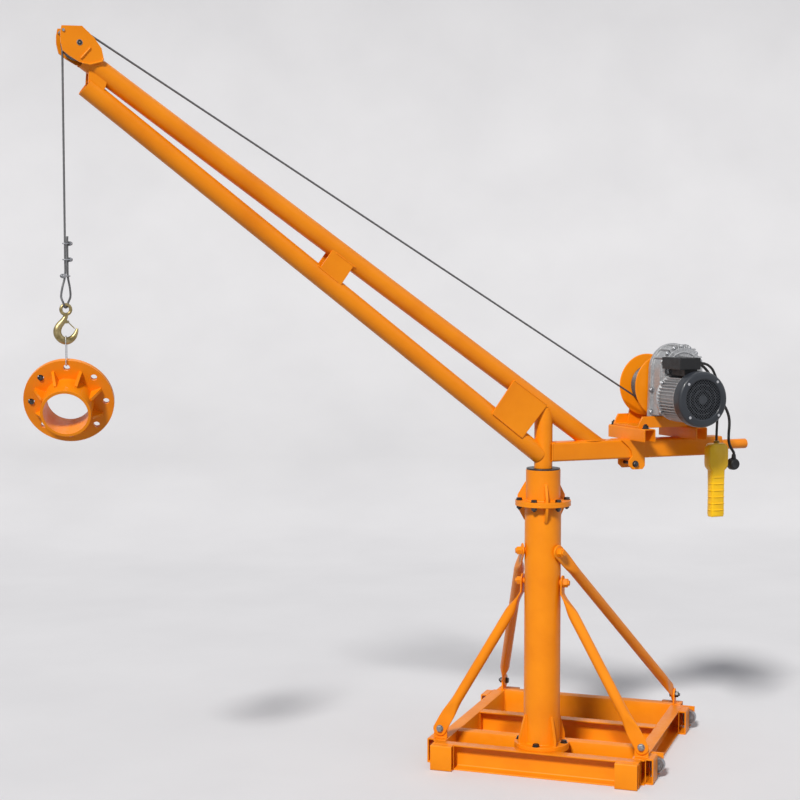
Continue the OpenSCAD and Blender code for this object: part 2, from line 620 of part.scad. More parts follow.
loop_turn = 55;
eye_route = [[0, 0, 0], [0, 0, -30], [0, 0, -60], [0, 0, -88], [-3, 0, -106], [-8, 0, -124], [-12, 0, -144], [-14, 0, -160],
  [-13, 0, -172], [-9.5, 0, -180.4], [-5, 0, -183.1], [0, 0, -183.8], [5, 0, -183.1], [9.5, 0, -180.4], [13, 0, -172],
  [14.5, 0, -160], [14, 0, -144], [12, 0, -124], [9, 0, -106], [7.5, 0, -88], [7.5, 0, -60], [7.5, 0, -30], [7.5, 0, 0], [9, 0, 30]];
module rope_eye() color("dimgray") translate([fall_x, 0, clip_z]) rotate([0, 0, loop_turn]) {
  sweep(smooth(eye_route, 2), rope_r, [0, 1, 0], 10);
  for (z = [-8, -50, -95]) translate([3.5, 0, z]) cube([22, 12, 13], center = true);
}

// Eye, shank and bowl, with two ears that carry the latch pin
latch_x = 5;
latch_z = -34;
module lifting_hook() color("goldenrod") {
  hook = [[0, 0, -12], [-2, 0, -22], [-9, 0, -33], [-19, 0, -45], [-24, 0, -58], [-22, 0, -71], [-13, 0, -82], [0, 0, -86.5],
    [12, 0, -83], [21, 0, -75], [27, 0, -65], [31, 0, -53]];
  size = [6.5, 7, 8.5, 10, 11, 11, 10.5, 10.5, 9.5, 8, 6, 3.5];
  translate([fall_x, 0, eye_z]) {
    rotate([90, 0, 0]) rotate_extrude() translate([13.5, 0]) circle(r = 4.5, $fn = 24);
    sweep(hook, size, [0, 1, 0], 12);
    sides(4.5, 7, [[latch_x - 14, latch_z - 5], [latch_x + 3, latch_z - 4], [latch_x + 3, latch_z + 4], [latch_x - 12, latch_z + 6]]);
    translate([latch_x, 0, latch_z]) rotate([90, 0, 0]) cylinder(r = 1.6, h = 14, center = true);
  }
}

// Barrel on the pin and a flat arm to the inside of the tip
module hook_latch() color("goldenrod") translate([fall_x + latch_x, 0, eye_z + latch_z]) difference() {
  union() {
    rotate([90, 0, 0]) cylinder(r = 3.6, h = 8, center = true);
    rotate([0, 45, 0]) translate([2.7, -3.5, -1.2]) cube([23.3, 7, 2.4]);
  }
  rotate([90, 0, 0]) cylinder(r = 2, h = 12, center = true);
}

// Spare flange hung by one of its eight holes, its boss leaning down
load_thickness = 0.056 * load_diameter;
boss_r = 0.278 * load_diameter;
boss_height = 0.32 * load_diameter;
web = 0.256 * load_r;
module load_flange() color("darkorange") translate([fall_x, 0, hole_z]) rotate([0, 0, load_turn]) translate([0, 6, 0])
  rotate([90 + load_tilt, 0, 0]) translate([0, -load_pitch, 0]) difference() {
    union() {
      translate([0, 0, -load_thickness / 2]) cylinder(r = load_r, h = load_thickness);
      translate([0, 0, load_thickness / 2 - e]) cylinder(r = boss_r, h = boss_height + e);
      for (a = [22.5:45:337.5]) rotate([0, 0, a]) translate([boss_r - 2, web / 8, load_thickness / 2 - e]) rotate([90, 0, 0])
        linear_extrude(web / 4) polygon([[0, 0], [web, 0], [web, web / 4], [web / 4, 1.5 * web], [0, 1.5 * web]]);
    }
    translate([0, 0, -load_thickness]) cylinder(r = boss_r - web / 4, h = boss_height + 2 * load_thickness);
    for (a = [0:45:315]) rotate([0, 0, a]) translate([load_pitch, 0, -load_thickness]) cylinder(d = 0.072 * load_diameter, h = 2 * load_thickness);
  }

// Closed loop of wire round the bow of the hook and through a flange hole
wire_half = 13.5;
wire_top = eye_z - 86.2;
wire_low = hole_z + 9 * cos(load_tilt) - load_thickness / 2 * sin(load_tilt) - 1.8;
wire_loop = [for (a = [0:20:180]) [wire_half * cos(a), 0, wire_top + wire_half * sin(a)],
  [-wire_half, 0, wire_top - 20], [-wire_half, 0, wire_low + 20],
  for (a = [180:30:270]) [-wire_half + 6 + 6 * cos(a), 0, wire_low + 6 + 6 * sin(a)],
  for (a = [270:30:360]) [wire_half - 6 + 6 * cos(a), 0, wire_low + 6 + 6 * sin(a)],
  [wire_half, 0, wire_low + 20], [wire_half, 0, wire_top - 20]];
module load_wire() color("silver") translate([fall_x, 0, 0]) rotate([0, 0, 90 + load_turn]) {
  n = len(wire_loop);
  k = 8;
  pts = [for (i = [0:n - 1]) each ring(wire_loop[i],
    unit(wire_loop[(i + 1) % n] - wire_loop[(i + n - 1) % n]), [0, 1, 0], 1.5, k)];
  polyhedron(points = pts, faces = concat(
    [for (i = [0:n - 1], j = [0:k - 1]) [i * k + j, ((i + 1) % n) * k + j, ((i + 1) % n) * k + (j + 1) % k]],
    [for (i = [0:n - 1], j = [0:k - 1]) [i * k + j, ((i + 1) % n) * k + (j + 1) % k, i * k + (j + 1) % k]]));
}

// Free cords and what hangs on them

module pendant_cord() color("black") sweep(lead(pendant_route, 2), 4, [0, 1, 0], 8);
module power_cord() color("black") sweep(lead(power_route, 2), 4.5, [0, 1, 0], 8);

// Round plug with a side entry, pins on the far face
plug_at = power_route[len(power_route) - 1] - [0, 0, 31.5];
module power_plug() color("black") translate(plug_at) {
  rotate([90, 0, 0]) cylinder(r = 19, h = 26, center = true);
  translate([0, 0, 14]) cylinder(r1 = 9, r2 = 6.5, h = 17.5);
  for (s = [-1, 1]) translate([s * 9.5, 12, 0]) rotate([-90, 0, 0]) cylinder(d = 4.8, h = 20);
}

// Hand control: a grip and a wider head with a neck for the cord
pendant_at = pendant_route[len(pendant_route) - 1] - [0, 0, 243.6];
module pendant() color("gold") translate(pendant_at) {
  slab([[-24, 4], [-20, 0], [20, 0], [24, 4], [24, 150], [-24, 150]], -15, 15);
  slab([[-24, 148], [-36, 156], [-36, 222], [-24, 236], [24, 236], [36, 222], [36, 156], [24, 148]], -18, 18);
  translate([0, 0, 230]) cylinder(r = 10, h = 13.6);
}

front_channel();
rear_channel();
left_channel();
right_channel();
front_cross_channel();
rear_cross_channel();
corner_bumpers();
wheel_brackets();
front_wheel();
rear_wheel();
brace_lugs();
mast_seat();
mast_foot();
mast_tube();
mast_head();
brace_front_left();
brace_front_right();
brace_rear_left();
brace_rear_right();
bearing_housing();
bearing_cap();
slew_post();
upper_boom_tube();
lower_boom_tube();
root_plates();
middle_plates();
tip_plates();
sheave_cheeks();
sheave_pins();
tip_sheave();
tail_beam();
tail_handle();
hoist_crossbars();
tail_clamps();
hoist_base();
drum_bracket();
gearbox();
motor_body();
fan_cover();
capacitor_box();
hoist_drum();
drum_rope();
boom_rope();
fall_rope();
rope_eye();
lifting_hook();
hook_latch();
load_flange();
load_wire();
pendant_cord();
pendant();
power_cord();
power_plug();
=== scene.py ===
import bpy, bmesh, json, math, random
from mathutils import Matrix, Vector


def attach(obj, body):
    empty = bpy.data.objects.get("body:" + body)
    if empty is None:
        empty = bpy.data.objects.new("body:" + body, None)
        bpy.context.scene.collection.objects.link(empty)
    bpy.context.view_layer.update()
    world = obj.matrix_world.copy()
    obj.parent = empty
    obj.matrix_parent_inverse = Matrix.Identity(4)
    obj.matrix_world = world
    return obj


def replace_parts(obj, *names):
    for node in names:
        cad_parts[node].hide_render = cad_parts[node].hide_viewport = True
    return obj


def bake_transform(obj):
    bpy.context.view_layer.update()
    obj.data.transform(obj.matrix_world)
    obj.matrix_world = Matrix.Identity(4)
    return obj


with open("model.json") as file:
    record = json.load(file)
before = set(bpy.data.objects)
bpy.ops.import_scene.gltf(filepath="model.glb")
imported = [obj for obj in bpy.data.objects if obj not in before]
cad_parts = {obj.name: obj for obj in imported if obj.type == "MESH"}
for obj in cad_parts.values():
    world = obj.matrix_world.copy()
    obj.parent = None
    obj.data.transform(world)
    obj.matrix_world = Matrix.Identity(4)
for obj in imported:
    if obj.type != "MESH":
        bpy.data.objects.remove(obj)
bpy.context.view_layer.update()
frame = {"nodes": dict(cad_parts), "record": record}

rad = math.radians
mm = 0.001  # pieces are drawn in millimetres and scaled once, in meshPiece
xAxis, yAxis, zAxis, near = (1, 0, 0), (0, 1, 0), (0, 0, 1), (0, -1, 0)
nodes = frame["nodes"]
slotOf = {entry["node"]: entry["material_slot"] for entry in frame["record"]["subparts"]}
baseMatrix = Matrix.Rotation(rad(-42), 4, "Z")  # the base stands turned under the boom
print("stage: frame loaded")


def addObject(name, data):
    obj = bpy.data.objects.new(name, data)
    bpy.context.scene.collection.objects.link(obj)
    return obj


# camera
cameraFacts = {"place": (-2.321, -4.432, 1.497), "pitch": 86.27, "turn": -22.5, "lens": 72.0, "sensor": 36, "reach": 60}
cameraData = bpy.data.cameras.new("camera")
cameraData.lens = cameraFacts["lens"]
cameraData.sensor_width = cameraFacts["sensor"]
cameraData.clip_end = cameraFacts["reach"]
camera = addObject("camera", cameraData)
camera.location = cameraFacts["place"]
camera.rotation_euler = (rad(cameraFacts["pitch"]), 0, rad(cameraFacts["turn"]))
bpy.context.scene.camera = camera


# points and matrices
def frameMatrix(at, x, y, z):
    return Matrix.Translation(Vector(at)) @ Matrix((Vector(x), Vector(y), Vector(z))).transposed().to_4x4()


def facing(at):  # drawn across and upwards, with its depth towards the near side
    return frameMatrix(at, xAxis, zAxis, near)


def place(at, axis):  # matrix with its depth along axis
    z = Vector(axis).normalized()
    ref = Vector(zAxis)
    if abs(z.dot(ref)) > 0.98:
        ref = Vector(yAxis) if abs(z.y) < 0.9 else Vector(xAxis)
    x = ref.cross(z).normalized()
    return frameMatrix(at, x, z.cross(x), z)


def shift(x=0.0, y=0.0, z=0.0):
    return Matrix.Translation((x, y, z))


def turned(angle, axis="Z"):
    return Matrix.Rotation(rad(angle), 4, axis)


def onBase(x, y, z):
    return baseMatrix @ Vector((x, y, z))


def flat(angle, radius=1.0, z=0.0):  # a point on a level circle
    return Vector((radius * math.cos(rad(angle)), radius * math.sin(rad(angle)), z))


def upright(angle, radius=1.0, y=0.0):  # a point on a circle that faces the near side
    return Vector((radius * math.cos(rad(angle)), y, radius * math.sin(rad(angle))))


def circle(center, radius, axis=zAxis, steps=60):
    m = place(center, axis)
    return [m @ flat(360 * i / steps, radius) for i in range(steps)]


def arc(x, y, radius, start, end, steps):
    angles = [rad(start + (end - start) * i / steps) for i in range(steps + 1)]
    return [(x + radius * math.cos(a), y + radius * math.sin(a)) for a in angles]


def roundRect(w, h, r, steps):
    x, y = w / 2 - r, h / 2 - r
    corners = ((x, y, 0), (-x, y, 90), (-x, -y, 180), (x, -y, 270))
    return [p for cx, cy, start in corners for p in arc(cx, cy, r, start, start + 90, steps)]


def ease(t):
    return t * t * (3 - 2 * t)


def smoothPath(points, per):
    pts = [Vector(p) for p in points]
    out = []
    for i in range(len(pts) - 1):
        a, b, c, d = pts[max(i - 1, 0)], pts[i], pts[i + 1], pts[min(i + 2, len(pts) - 1)]
        for s in range(per):
            t = s / per
            bend = (2 * a - 5 * b + 4 * c - d) * t * t + (3 * b - a - 3 * c + d) * t ** 3
            out.append(0.5 * (2 * b + (c - a) * t + bend))
    return out + [pts[-1]]


# mesh helpers; every piece is drawn into bm, and meshPiece takes it out and clears it
bm = bmesh.new()


def meshPiece(name, body, slotName=None, mat=None, smooth=35.0, bevel=0.0, segments=2, unit=mm):
    bm.transform(Matrix.Scale(unit, 4))
    bmesh.ops.recalc_face_normals(bm, faces=bm.faces)
    for face in bm.faces:
        face.smooth = True
    for edge in bm.edges:
        if len(edge.link_faces) != 2 or edge.calc_face_angle(0) > rad(smooth):
            edge.smooth = False
    data = bpy.data.meshes.new(name)
    bm.to_mesh(data)
    bm.clear()
    data.materials.append(mats[mat or slotName])
    obj = addObject(name, data)
    if bevel > 0:
        mod = obj.modifiers.new("bevel", "BEVEL")
        mod.width = bevel * mm
        mod.segments = segments
        mod.limit_method = "ANGLE"
        mod.angle_limit = rad(smooth)
    if body:
        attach(obj, body)
    return obj


def joinRings(rings, closed=False):
    for a, b in zip(rings, rings[1:] + (rings[:1] if closed else [])):
        for j in range(len(a)):
            k = (j + 1) % len(a)
            bm.faces.new([a[j], a[k], b[k], b[j]])


def addLathe(profile, matrix, steps):  # profile of radius and height
    rings = [[bm.verts.new(matrix @ flat(360 * i / steps, r, z)) for r, z in profile] for i in range(steps)]
    for a, b in zip(rings, rings[1:] + rings[:1]):
        for j in range(len(profile) - 1):
            if not profile[j][0]:
                bm.faces.new([a[j], b[j + 1], a[j + 1]])
            elif not profile[j + 1][0]:
                bm.faces.new([a[j], b[j], a[j + 1]])
            else:
                bm.faces.new([a[j], b[j], b[j + 1], a[j + 1]])


def addPrism(outline, depth, matrix):
    low, high = [[bm.verts.new(matrix @ Vector((x, y, z))) for x, y in outline] for z in (0, depth)]
    bm.faces.new(low[::-1])
    bm.faces.new(high)
    joinRings([low, high])


def addBox(low, high, matrix):
    (x0, y0, z0), (x1, y1, z1) = low, high
    addPrism([(x0, y0), (x1, y0), (x1, y1), (x0, y1)], z1 - z0, matrix @ shift(z=z0))


def addShellPrism(outer, inner, depth, matrix):
    lines = ((outer, 0), (outer, depth), (inner, depth), (inner, 0))
    joinRings([[bm.verts.new(matrix @ Vector((x, y, z))) for x, y in line] for line, z in lines], closed=True)


def addSweep(points, radius, sides, closed=False, ref=None, shape=None):
    pts = [Vector(p) for p in points]
    n = len(pts)
    normal = Vector(ref) if ref else None
    rings = []
    for i, p in enumerate(pts):
        if closed:
            t = (pts[(i + 1) % n] - pts[i - 1]).normalized()
        else:
            t = (pts[min(i + 1, n - 1)] - pts[max(i - 1, 0)]).normalized()
        normal = normal or t.orthogonal()
        normal = normal - t * normal.dot(t)
        normal = normal.normalized() if normal.length > 1e-6 else t.orthogonal().normalized()
        side = t.cross(normal)
        r = radius[i] if isinstance(radius, list) else radius
        ring = []
        for j in range(sides):
            a = 2 * math.pi * j / sides
            x, y = shape(a, i) if shape else (math.cos(a) * r, math.sin(a) * r)
            ring.append(bm.verts.new(p + normal * x + side * y))
        rings.append(ring)
    joinRings(rings, closed)
    if not closed:
        bm.faces.new(rings[0][::-1])
        bm.faces.new(rings[-1])


def addDisc(matrix, radius, height, steps=20, bore=0.0, soft=0.15):
    s = soft * height
    profile = [(bore, 0), (radius - s, 0), (radius, s), (radius, height - s), (radius - s, height), (bore, height)]
    addLathe(profile + ([(bore, 0)] if bore else []), matrix, steps)


# parts of a bolt for a size of 1; the hexagon for a corner radius and height of 1
boltFacts = {"washer": (1.05, 0.17), "across": 1.6, "head": 0.62, "nut": 0.8, "shank": 0.46,
    "hex": [(0, 0), (1, 0), (1, 0.88), (0.88, 1), (0.5, 1.02), (0, 1.02)]}


def addHex(matrix, across, height):
    r = across / math.sqrt(3)
    addLathe([(r * x, height * z) for x, z in boltFacts["hex"]], matrix, 6)


def addBolt(at, axis, size, washer=True, tail=0.0, spin=0.0):  # a head, or a nut with a tail past it
    m = place(at, axis) @ turned(spin)
    if washer:
        wide, thick = boltFacts["washer"]
        addDisc(m, size * wide, size * thick)
        m = m @ shift(z=size * thick)
    addHex(m, size * boltFacts["across"], size * boltFacts["nut" if tail else "head"])
    if tail:
        addDisc(m @ shift(z=size * boltFacts["nut"]), size * boltFacts["shank"], tail, 14, soft=0.2)


beadFacts = {"step": 2.8, "slack": 0.0001, "wave": 0.16, "pace": 2.1, "uneven": 0.10, "end": 0.6, "sides": 8}


def bead(points, radius, seed, closed=False):  # a line of weld
    rng = random.Random(seed)
    path = [Vector(p) for p in points]
    fine = []
    for a, b in zip(path, path[1:] + (path[:1] if closed else [])):
        steps = max(1, int((b - a).length / beadFacts["step"] + beadFacts["slack"]))
        fine += [a.lerp(b, s / steps) for s in range(steps)]
    if not closed:
        fine.append(path[-1])
    sizes = []
    for i in range(len(fine)):
        wave = beadFacts["wave"] * math.sin(i * beadFacts["pace"])
        sizes.append(radius * (1 + wave + beadFacts["uneven"] * (rng.random() - 0.5)))
    if not closed:
        sizes[0] *= beadFacts["end"]
        sizes[-1] *= beadFacts["end"]
    addSweep(fine, sizes, beadFacts["sides"], closed)


# materials
mats = {}


def newMat(name):
    mat = mats[name] = bpy.data.materials.new(name)
    mat.use_nodes = True
    return mat.node_tree, mat.node_tree.nodes["Principled BSDF"]


def addNode(tree, kind, values=None):
    node = tree.nodes.new("ShaderNode" + kind)
    setInputs(node, values or {})
    return node


def setInputs(node, values):
    for name, value in values.items():
        node.inputs[name].default_value = value


def link(tree, a, outName, b, inName):
    tree.links.new(a.outputs[outName], b.inputs[inName])


def noiseNode(tree, scale, detail, rough):
    noise = addNode(tree, "TexNoise", {"Scale": scale, "Detail": detail, "Roughness": rough})
    link(tree, addNode(tree, "TexCoord"), "Object", noise, "Vector")
    return noise


def rampNode(tree, source, stops, colors, outName="Fac"):
    ramp = addNode(tree, "ValToRGB")
    while len(ramp.color_ramp.elements) < len(stops):
        ramp.color_ramp.elements.new(0.5)
    for element, stop, color in zip(ramp.color_ramp.elements, stops, colors):
        element.position = stop
        element.color = (*color, 1)
    link(tree, source, outName, ramp, "Fac")
    return ramp


def linkRough(tree, shader, source, stops, rough):
    link(tree, rampNode(tree, source, stops, [(r, r, r) for r in rough]), "Color", shader, "Roughness")


def linkBump(tree, shader, source, strength, distance):
    bump = addNode(tree, "Bump", {"Strength": strength, "Distance": distance})
    link(tree, source, "Fac", bump, "Height")
    link(tree, bump, "Normal", shader, "Normal")


def paintMat(name, shades, rough, coat=0.0, peel=0.06, peelScale=420.0, gloss=0.35):
    tree, shader = newMat(name)
    color = rampNode(tree, noiseNode(tree, 7.0, 5.0, 0.55), (0.3, 0.5, 0.72), shades)
    link(tree, color, "Color", shader, "Base Color")
    linkRough(tree, shader, noiseNode(tree, 60.0, 3.0, 0.6), (0.35, 0.7), rough)
    linkBump(tree, shader, noiseNode(tree, peelScale, 2.0, 0.5), peel, 0.0006)
    setInputs(shader, {"Coat Weight": coat, "Coat Roughness": 0.12, "Specular IOR Level": gloss})


def metalMat(name, shades, rough, scale=90.0, metallic=1.0, bump=0.15, depth=0.0005):
    tree, shader = newMat(name)
    cloud = noiseNode(tree, scale, 5.0, 0.6)
    link(tree, rampNode(tree, cloud, (0.32, 0.68), shades), "Color", shader, "Base Color")
    linkRough(tree, shader, cloud, (0.3, 0.75), rough)
    linkBump(tree, shader, cloud, bump, depth)
    setInputs(shader, {"Metallic": metallic})


paintFacts = {
    "orange_paint": {"shades": ((0.81, 0.224, 0.002), (0.87, 0.256, 0.003), (0.92, 0.284, 0.004)),
        "rough": (0.34, 0.48), "coat": 0.05, "gloss": 0.25},
    "dark_cover": {"shades": ((0.012, 0.015, 0.020), (0.018, 0.022, 0.029), (0.027, 0.031, 0.039)),
        "rough": (0.35, 0.5), "coat": 0.2, "peel": 0.12, "peelScale": 700.0},
    # black plastic made darker and without sheen: painted shade of the recess behind the guard
    "fan_black_painted_shade": {"shades": ((0.003, 0.003, 0.004), (0.005, 0.005, 0.006), (0.008, 0.008, 0.009)),
        "rough": (0.8, 0.9), "gloss": 0.05},
    "black_plastic": {"shades": ((0.006, 0.006, 0.007), (0.010, 0.010, 0.011), (0.016, 0.016, 0.017)),
        "rough": (0.38, 0.55), "peel": 0.25, "peelScale": 1500.0},
    "black_rubber": {"shades": ((0.008, 0.008, 0.008), (0.013, 0.013, 0.013), (0.02, 0.02, 0.02)),
        "rough": (0.5, 0.65), "peel": 0.2, "peelScale": 1200.0},
    "yellow_plastic": {"shades": ((0.88, 0.47, 0.004), (0.95, 0.55, 0.006), (0.96, 0.59, 0.009)),
        "rough": (0.3, 0.42), "coat": 0.1, "peel": 0.1, "peelScale": 1500.0},
    "guard_wire": {"shades": ((0.030, 0.034, 0.042), (0.045, 0.050, 0.060), (0.060, 0.065, 0.076)),
        "rough": (0.35, 0.5), "coat": 0.1}}
metalFacts = {
    "zinc_steel": {"shades": ((0.20, 0.20, 0.21), (0.40, 0.41, 0.43)), "rough": (0.32, 0.5)},
    "dark_steel": {"shades": ((0.035, 0.034, 0.034), (0.10, 0.10, 0.10)), "rough": (0.3, 0.5)},
    "cast_aluminium": {"shades": ((0.36, 0.365, 0.375), (0.52, 0.525, 0.535)), "rough": (0.46, 0.62),
        "scale": 160.0, "metallic": 0.7, "bump": 0.2, "depth": 0.0006},
    "wire_rope": {"shades": ((0.05, 0.05, 0.052), (0.23, 0.23, 0.235)), "rough": (0.4, 0.6),
        "scale": 700.0, "metallic": 0.8},
    "yellow_zinc": {"shades": ((0.20, 0.15, 0.06), (0.46, 0.37, 0.19)), "rough": (0.30, 0.46), "scale": 60.0},
    "bright_wire": {"shades": ((0.45, 0.45, 0.46), (0.7, 0.7, 0.71)), "rough": (0.25, 0.4), "scale": 300.0}}
for name, facts in paintFacts.items():
    paintMat(name, **facts)
for name, facts in metalFacts.items():
    metalMat(name, **facts)
for node, slotName in slotOf.items():
    nodes[node].data.materials.clear()
    nodes[node].data.materials.append(mats[slotName])
print("stage: materials")

# cords
cordFacts = {
    "powerCord": {"node": "power_cord", "diameter": 9.0, "far": "plug",
        "route": [(440, -160, 1288), (452, -160, 1287), (466, -160, 1283), (482, -159, 1273),
        (498, -158, 1257), (508, -156, 1241), (526, -148, 1212), (542, -138, 1186),
        (560, -130, 1168), (580, -123, 1152), (596, -120, 1130), (604, -120, 1108),
        (606, -120, 1085), (604, -120, 1055), (605, -120, 1030), (612, -120, 1012),
        (620, -120, 1001), (624, -120, 994), (624, -120, 989.5)]},
    "pendantCord": {"node": "pendant_cord", "diameter": 8.0, "far": "object",
        "route": [(440, -205, 1288), (453, -205, 1286.5), (468, -204, 1281), (484, -202, 1269),
        (498, -197, 1250), (510, -190, 1228), (528, -172, 1180), (540, -155, 1150),
        (550, -138, 1125), (556, -126, 1100), (558, -121, 1075), (558, -120, 1055),
        (558, -120, 1035.6)]}}
cordPieces = {}
for name, facts in cordFacts.items():
    addSweep(smoothPath(facts["route"], 6), facts["diameter"] / 2, 16, ref=yAxis)
    cordPieces[name] = meshPiece(name, "boom", "black_rubber", smooth=60)
    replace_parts(cordPieces[name], facts["node"])


print("stage: cords")


# the base
def addBaseRun(outline, at, out, run, length):  # an outline drawn outwards and up, run along the base
    addPrism(outline, length, baseMatrix @ frameMatrix((*at, 0), (*out, 0), zAxis, (*run, 0)))


# channels with rolled fillets and rounded toes; each with a start, the way it faces, its run and length
channelFacts = {"width": 40, "height": 80, "wall": 5, "fillet": 6, "toe": 2.5, "edge": 1.2, "tip": 0.4,
    "runs": {"front_channel": ((-330, -62), (0, -1), (1, 0), 660), "rear_channel": ((330, 632), (0, 1), (-1, 0), 660),
    "right_channel": ((300, -62), (1, 0), (0, 1), 694), "left_channel": ((-300, -62), (-1, 0), (0, 1), 694),
    "front_cross_channel": ((300, 62), (0, 1), (-1, 0), 600),
    "rear_cross_channel": ((-300, 356), (0, -1), (1, 0), 600)}}
wide, high, wall, fillet, toe, edge, tip = [
    channelFacts[key] for key in ("width", "height", "wall", "fillet", "toe", "edge", "tip")]
corner = wall + fillet
channelOutline = (
    arc(edge, edge, edge, 180, 270, 2) + arc(wide - tip, tip, tip, 270, 360, 1)
    + arc(wide - toe, wall - toe, toe, 0, 90, 3) + arc(corner, corner, fillet, 270, 180, 4)
    + arc(corner, high - corner, fillet, 180, 90, 4) + arc(wide - toe, high - wall + toe, toe, 270, 360, 3)
    + arc(wide - tip, high - tip, tip, 0, 90, 1) + arc(edge, high - edge, edge, 90, 180, 2))
for node, (at, out, run, length) in channelFacts["runs"].items():
    addBaseRun(channelOutline, at, out, run, length)
    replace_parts(meshPiece("rolled_" + node, "base", "orange_paint", smooth=40), node)

bumperFacts = {"length": 70, "proud": 25, "bend": 4, "inner": 1,
    "spots": [((s * 365, y), (-s, 0), (0, 1)) for s in (-1, 1) for y in (-50, 550)]
    + [((x, y), (0, s), (1, 0)) for y, s in ((-127, 1), (697, -1)) for x in (-330, 260)]}
proud, bend, inner = bumperFacts["proud"], bumperFacts["bend"], bumperFacts["inner"]
side, lip = [(proud, 0), (proud, wall), (wall + inner, wall), (wall, wall + inner)], arc(bend, bend, bend, 180, 270, 4)
bumperOutline = lip + side + [(x, high - y) for x, y in side[::-1] + lip[::-1]]
for at, out, run in bumperFacts["spots"]:
    addBaseRun(bumperOutline, at, out, run, bumperFacts["length"])
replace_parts(meshPiece("bent_bumpers", "base", "orange_paint", smooth=40, bevel=0.7), "corner_bumpers")
print("stage: base channels")

# braces: tubes pressed flat at both ends
braceFacts = {"radius": 16.5, "thin": 2.5, "wide": 19.6, "sides": 40, "stand": 64.5, "flat": 34, "swell": (10, 72),
    "tongue": (3, 20), "point": 0.2,
    "ends": {"front": {"z": 600, "turn": 0.0, "low": (325, -38.5, 112), "sideways": True},
    "rear": {"z": 700, "turn": -25.0, "low": (302.5, 652, 112), "sideways": False}}}


def pressedRing(c, t, su, sv, b, face):  # a round of radius b drawn out by su and sv
    u = face.cross(t).normalized()
    v = t.cross(u)
    sides = braceFacts["sides"]
    spots = [flat(360 * (j + 0.5) / sides) for j in range(sides)]
    return [c + u * (math.copysign(su, p.x) + b * p.x) + v * (math.copysign(sv, p.y) + b * p.y) for p in spots]


def addBrace(z, turn, low, sideways, mirror):
    f = braceFacts
    thin, wide = f["thin"], f["wide"]
    face, side = flat(turn), Vector(xAxis)
    top, low = face * f["stand"] + Vector((0, 0, z)), Vector(low)
    run = (low - top).normalized()
    d1 = (run - face * run.dot(face)).normalized()
    d2 = (Vector((run.x, 0, run.z)) if sideways else Vector((0, run.y, run.z))).normalized()
    a1, b1 = top + d1 * f["flat"], low - d2 * f["flat"]
    v = (b1 - a1).normalized()

    def across(w):
        return (0, w) if sideways else (w, 0)

    (first, reach), (start, span) = f["tongue"], f["swell"]
    tongue = []  # a rounded end: distance and half width
    for k in range(9):
        a = rad(90 * k / 8)
        tongue.append((first + reach * math.sin(a), max(f["point"], wide * math.cos(a))))
    swell = []  # from flat to round: distance, half width and half thickness
    for k in range(13):
        e = ease(k / 12)
        swell.append((start + span * k / 12, wide * (1 - e), thin + (f["radius"] - thin) * e))
    rings = [(top - d1 * d, d1, w, 0, thin, face) for d, w in reversed(tongue)]
    rings += [(top + d1 * 24, d1, wide, 0, thin, face), (a1, (d1 + v).normalized(), wide, 0, thin, face)]
    rings += [(a1 + v * d, v, w, 0, b, face) for d, w, b in swell]
    rings += [(b1 - v * d, v, *across(w), b, side) for d, w, b in reversed(swell)]
    rings += [(b1, (d2 + v).normalized(), *across(wide), thin, side), (b1 + d2 * 10, d2, *across(wide), thin, side)]
    rings += [(low + d2 * d, d2, *across(w), thin, side) for d, w in tongue]
    m = baseMatrix @ Matrix.Diagonal((-1 if mirror else 1, 1, 1, 1))
    loops = [[bm.verts.new(m @ p) for p in pressedRing(*ring)] for ring in rings]
    joinRings(loops)
    bm.faces.new(loops[0])
    bm.faces.new(loops[-1])


for end, facts in braceFacts["ends"].items():
    for side in ("left", "right"):
        addBrace(**facts, mirror=side == "left")
        node = "brace_" + end + "_" + side
        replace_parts(meshPiece("pressed_" + node, "base", "orange_paint", smooth=50), node)
print("stage: braces")

# plates and castings copied from the part, with softened edges: the width of each edge
copyFacts = {"merge": 0.000002, "level": 0.6, "smooth": 32.0, "widths": {
    "base": {"brace_lugs": 0.8, "mast_foot": 0.9, "mast_head": 0.8, "bearing_housing": 0.9, "wheel_brackets": 0.6,
             "bearing_cap": 0.6},
    "boom": {"root_plates": 0.7, "middle_plates": 0.7, "tip_plates": 0.6, "sheave_cheeks": 0.9, "tail_clamps": 0.9,
             "hoist_base": 1.2, "drum_bracket": 1.0, "gearbox": 1.6, "capacitor_box": 2.2},
    "hook": {"load_flange": 1.0}, "latch": {"hook_latch": 0.4}}}


def copyPiece(name, node, body, width):  # a copied piece is in metres already
    bm.from_mesh(nodes[node].data)
    bm.transform(nodes[node].matrix_world)
    bmesh.ops.remove_doubles(bm, verts=bm.verts, dist=copyFacts["merge"])
    bmesh.ops.dissolve_limit(bm, angle_limit=rad(copyFacts["level"]), use_dissolve_boundaries=False, verts=bm.verts,
                             edges=bm.edges)
    obj = meshPiece(name, body, slotOf[node], smooth=copyFacts["smooth"], bevel=width, unit=1)
    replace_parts(obj, node)


for body, widths in copyFacts["widths"].items():
    for node, width in widths.items():
        copyPiece("soft_" + node, node, body, width)
print("stage: softened plates")

# ropes
ropeFacts = {"radius": 3.0, "strands": 6, "pitch": 36.0, "step": 4.5, "sides": 24, "hollow": (0.84, 0.16, 0.6),
    "fallX": -1482, "fall": (2184, 2000, 1800, 1648), "sheave": (-1441, 2184), "sheavePitch": 41, "drum": (400, 1210),
    "run": 66.0, "wrapSteps": 20}
rf = ropeFacts


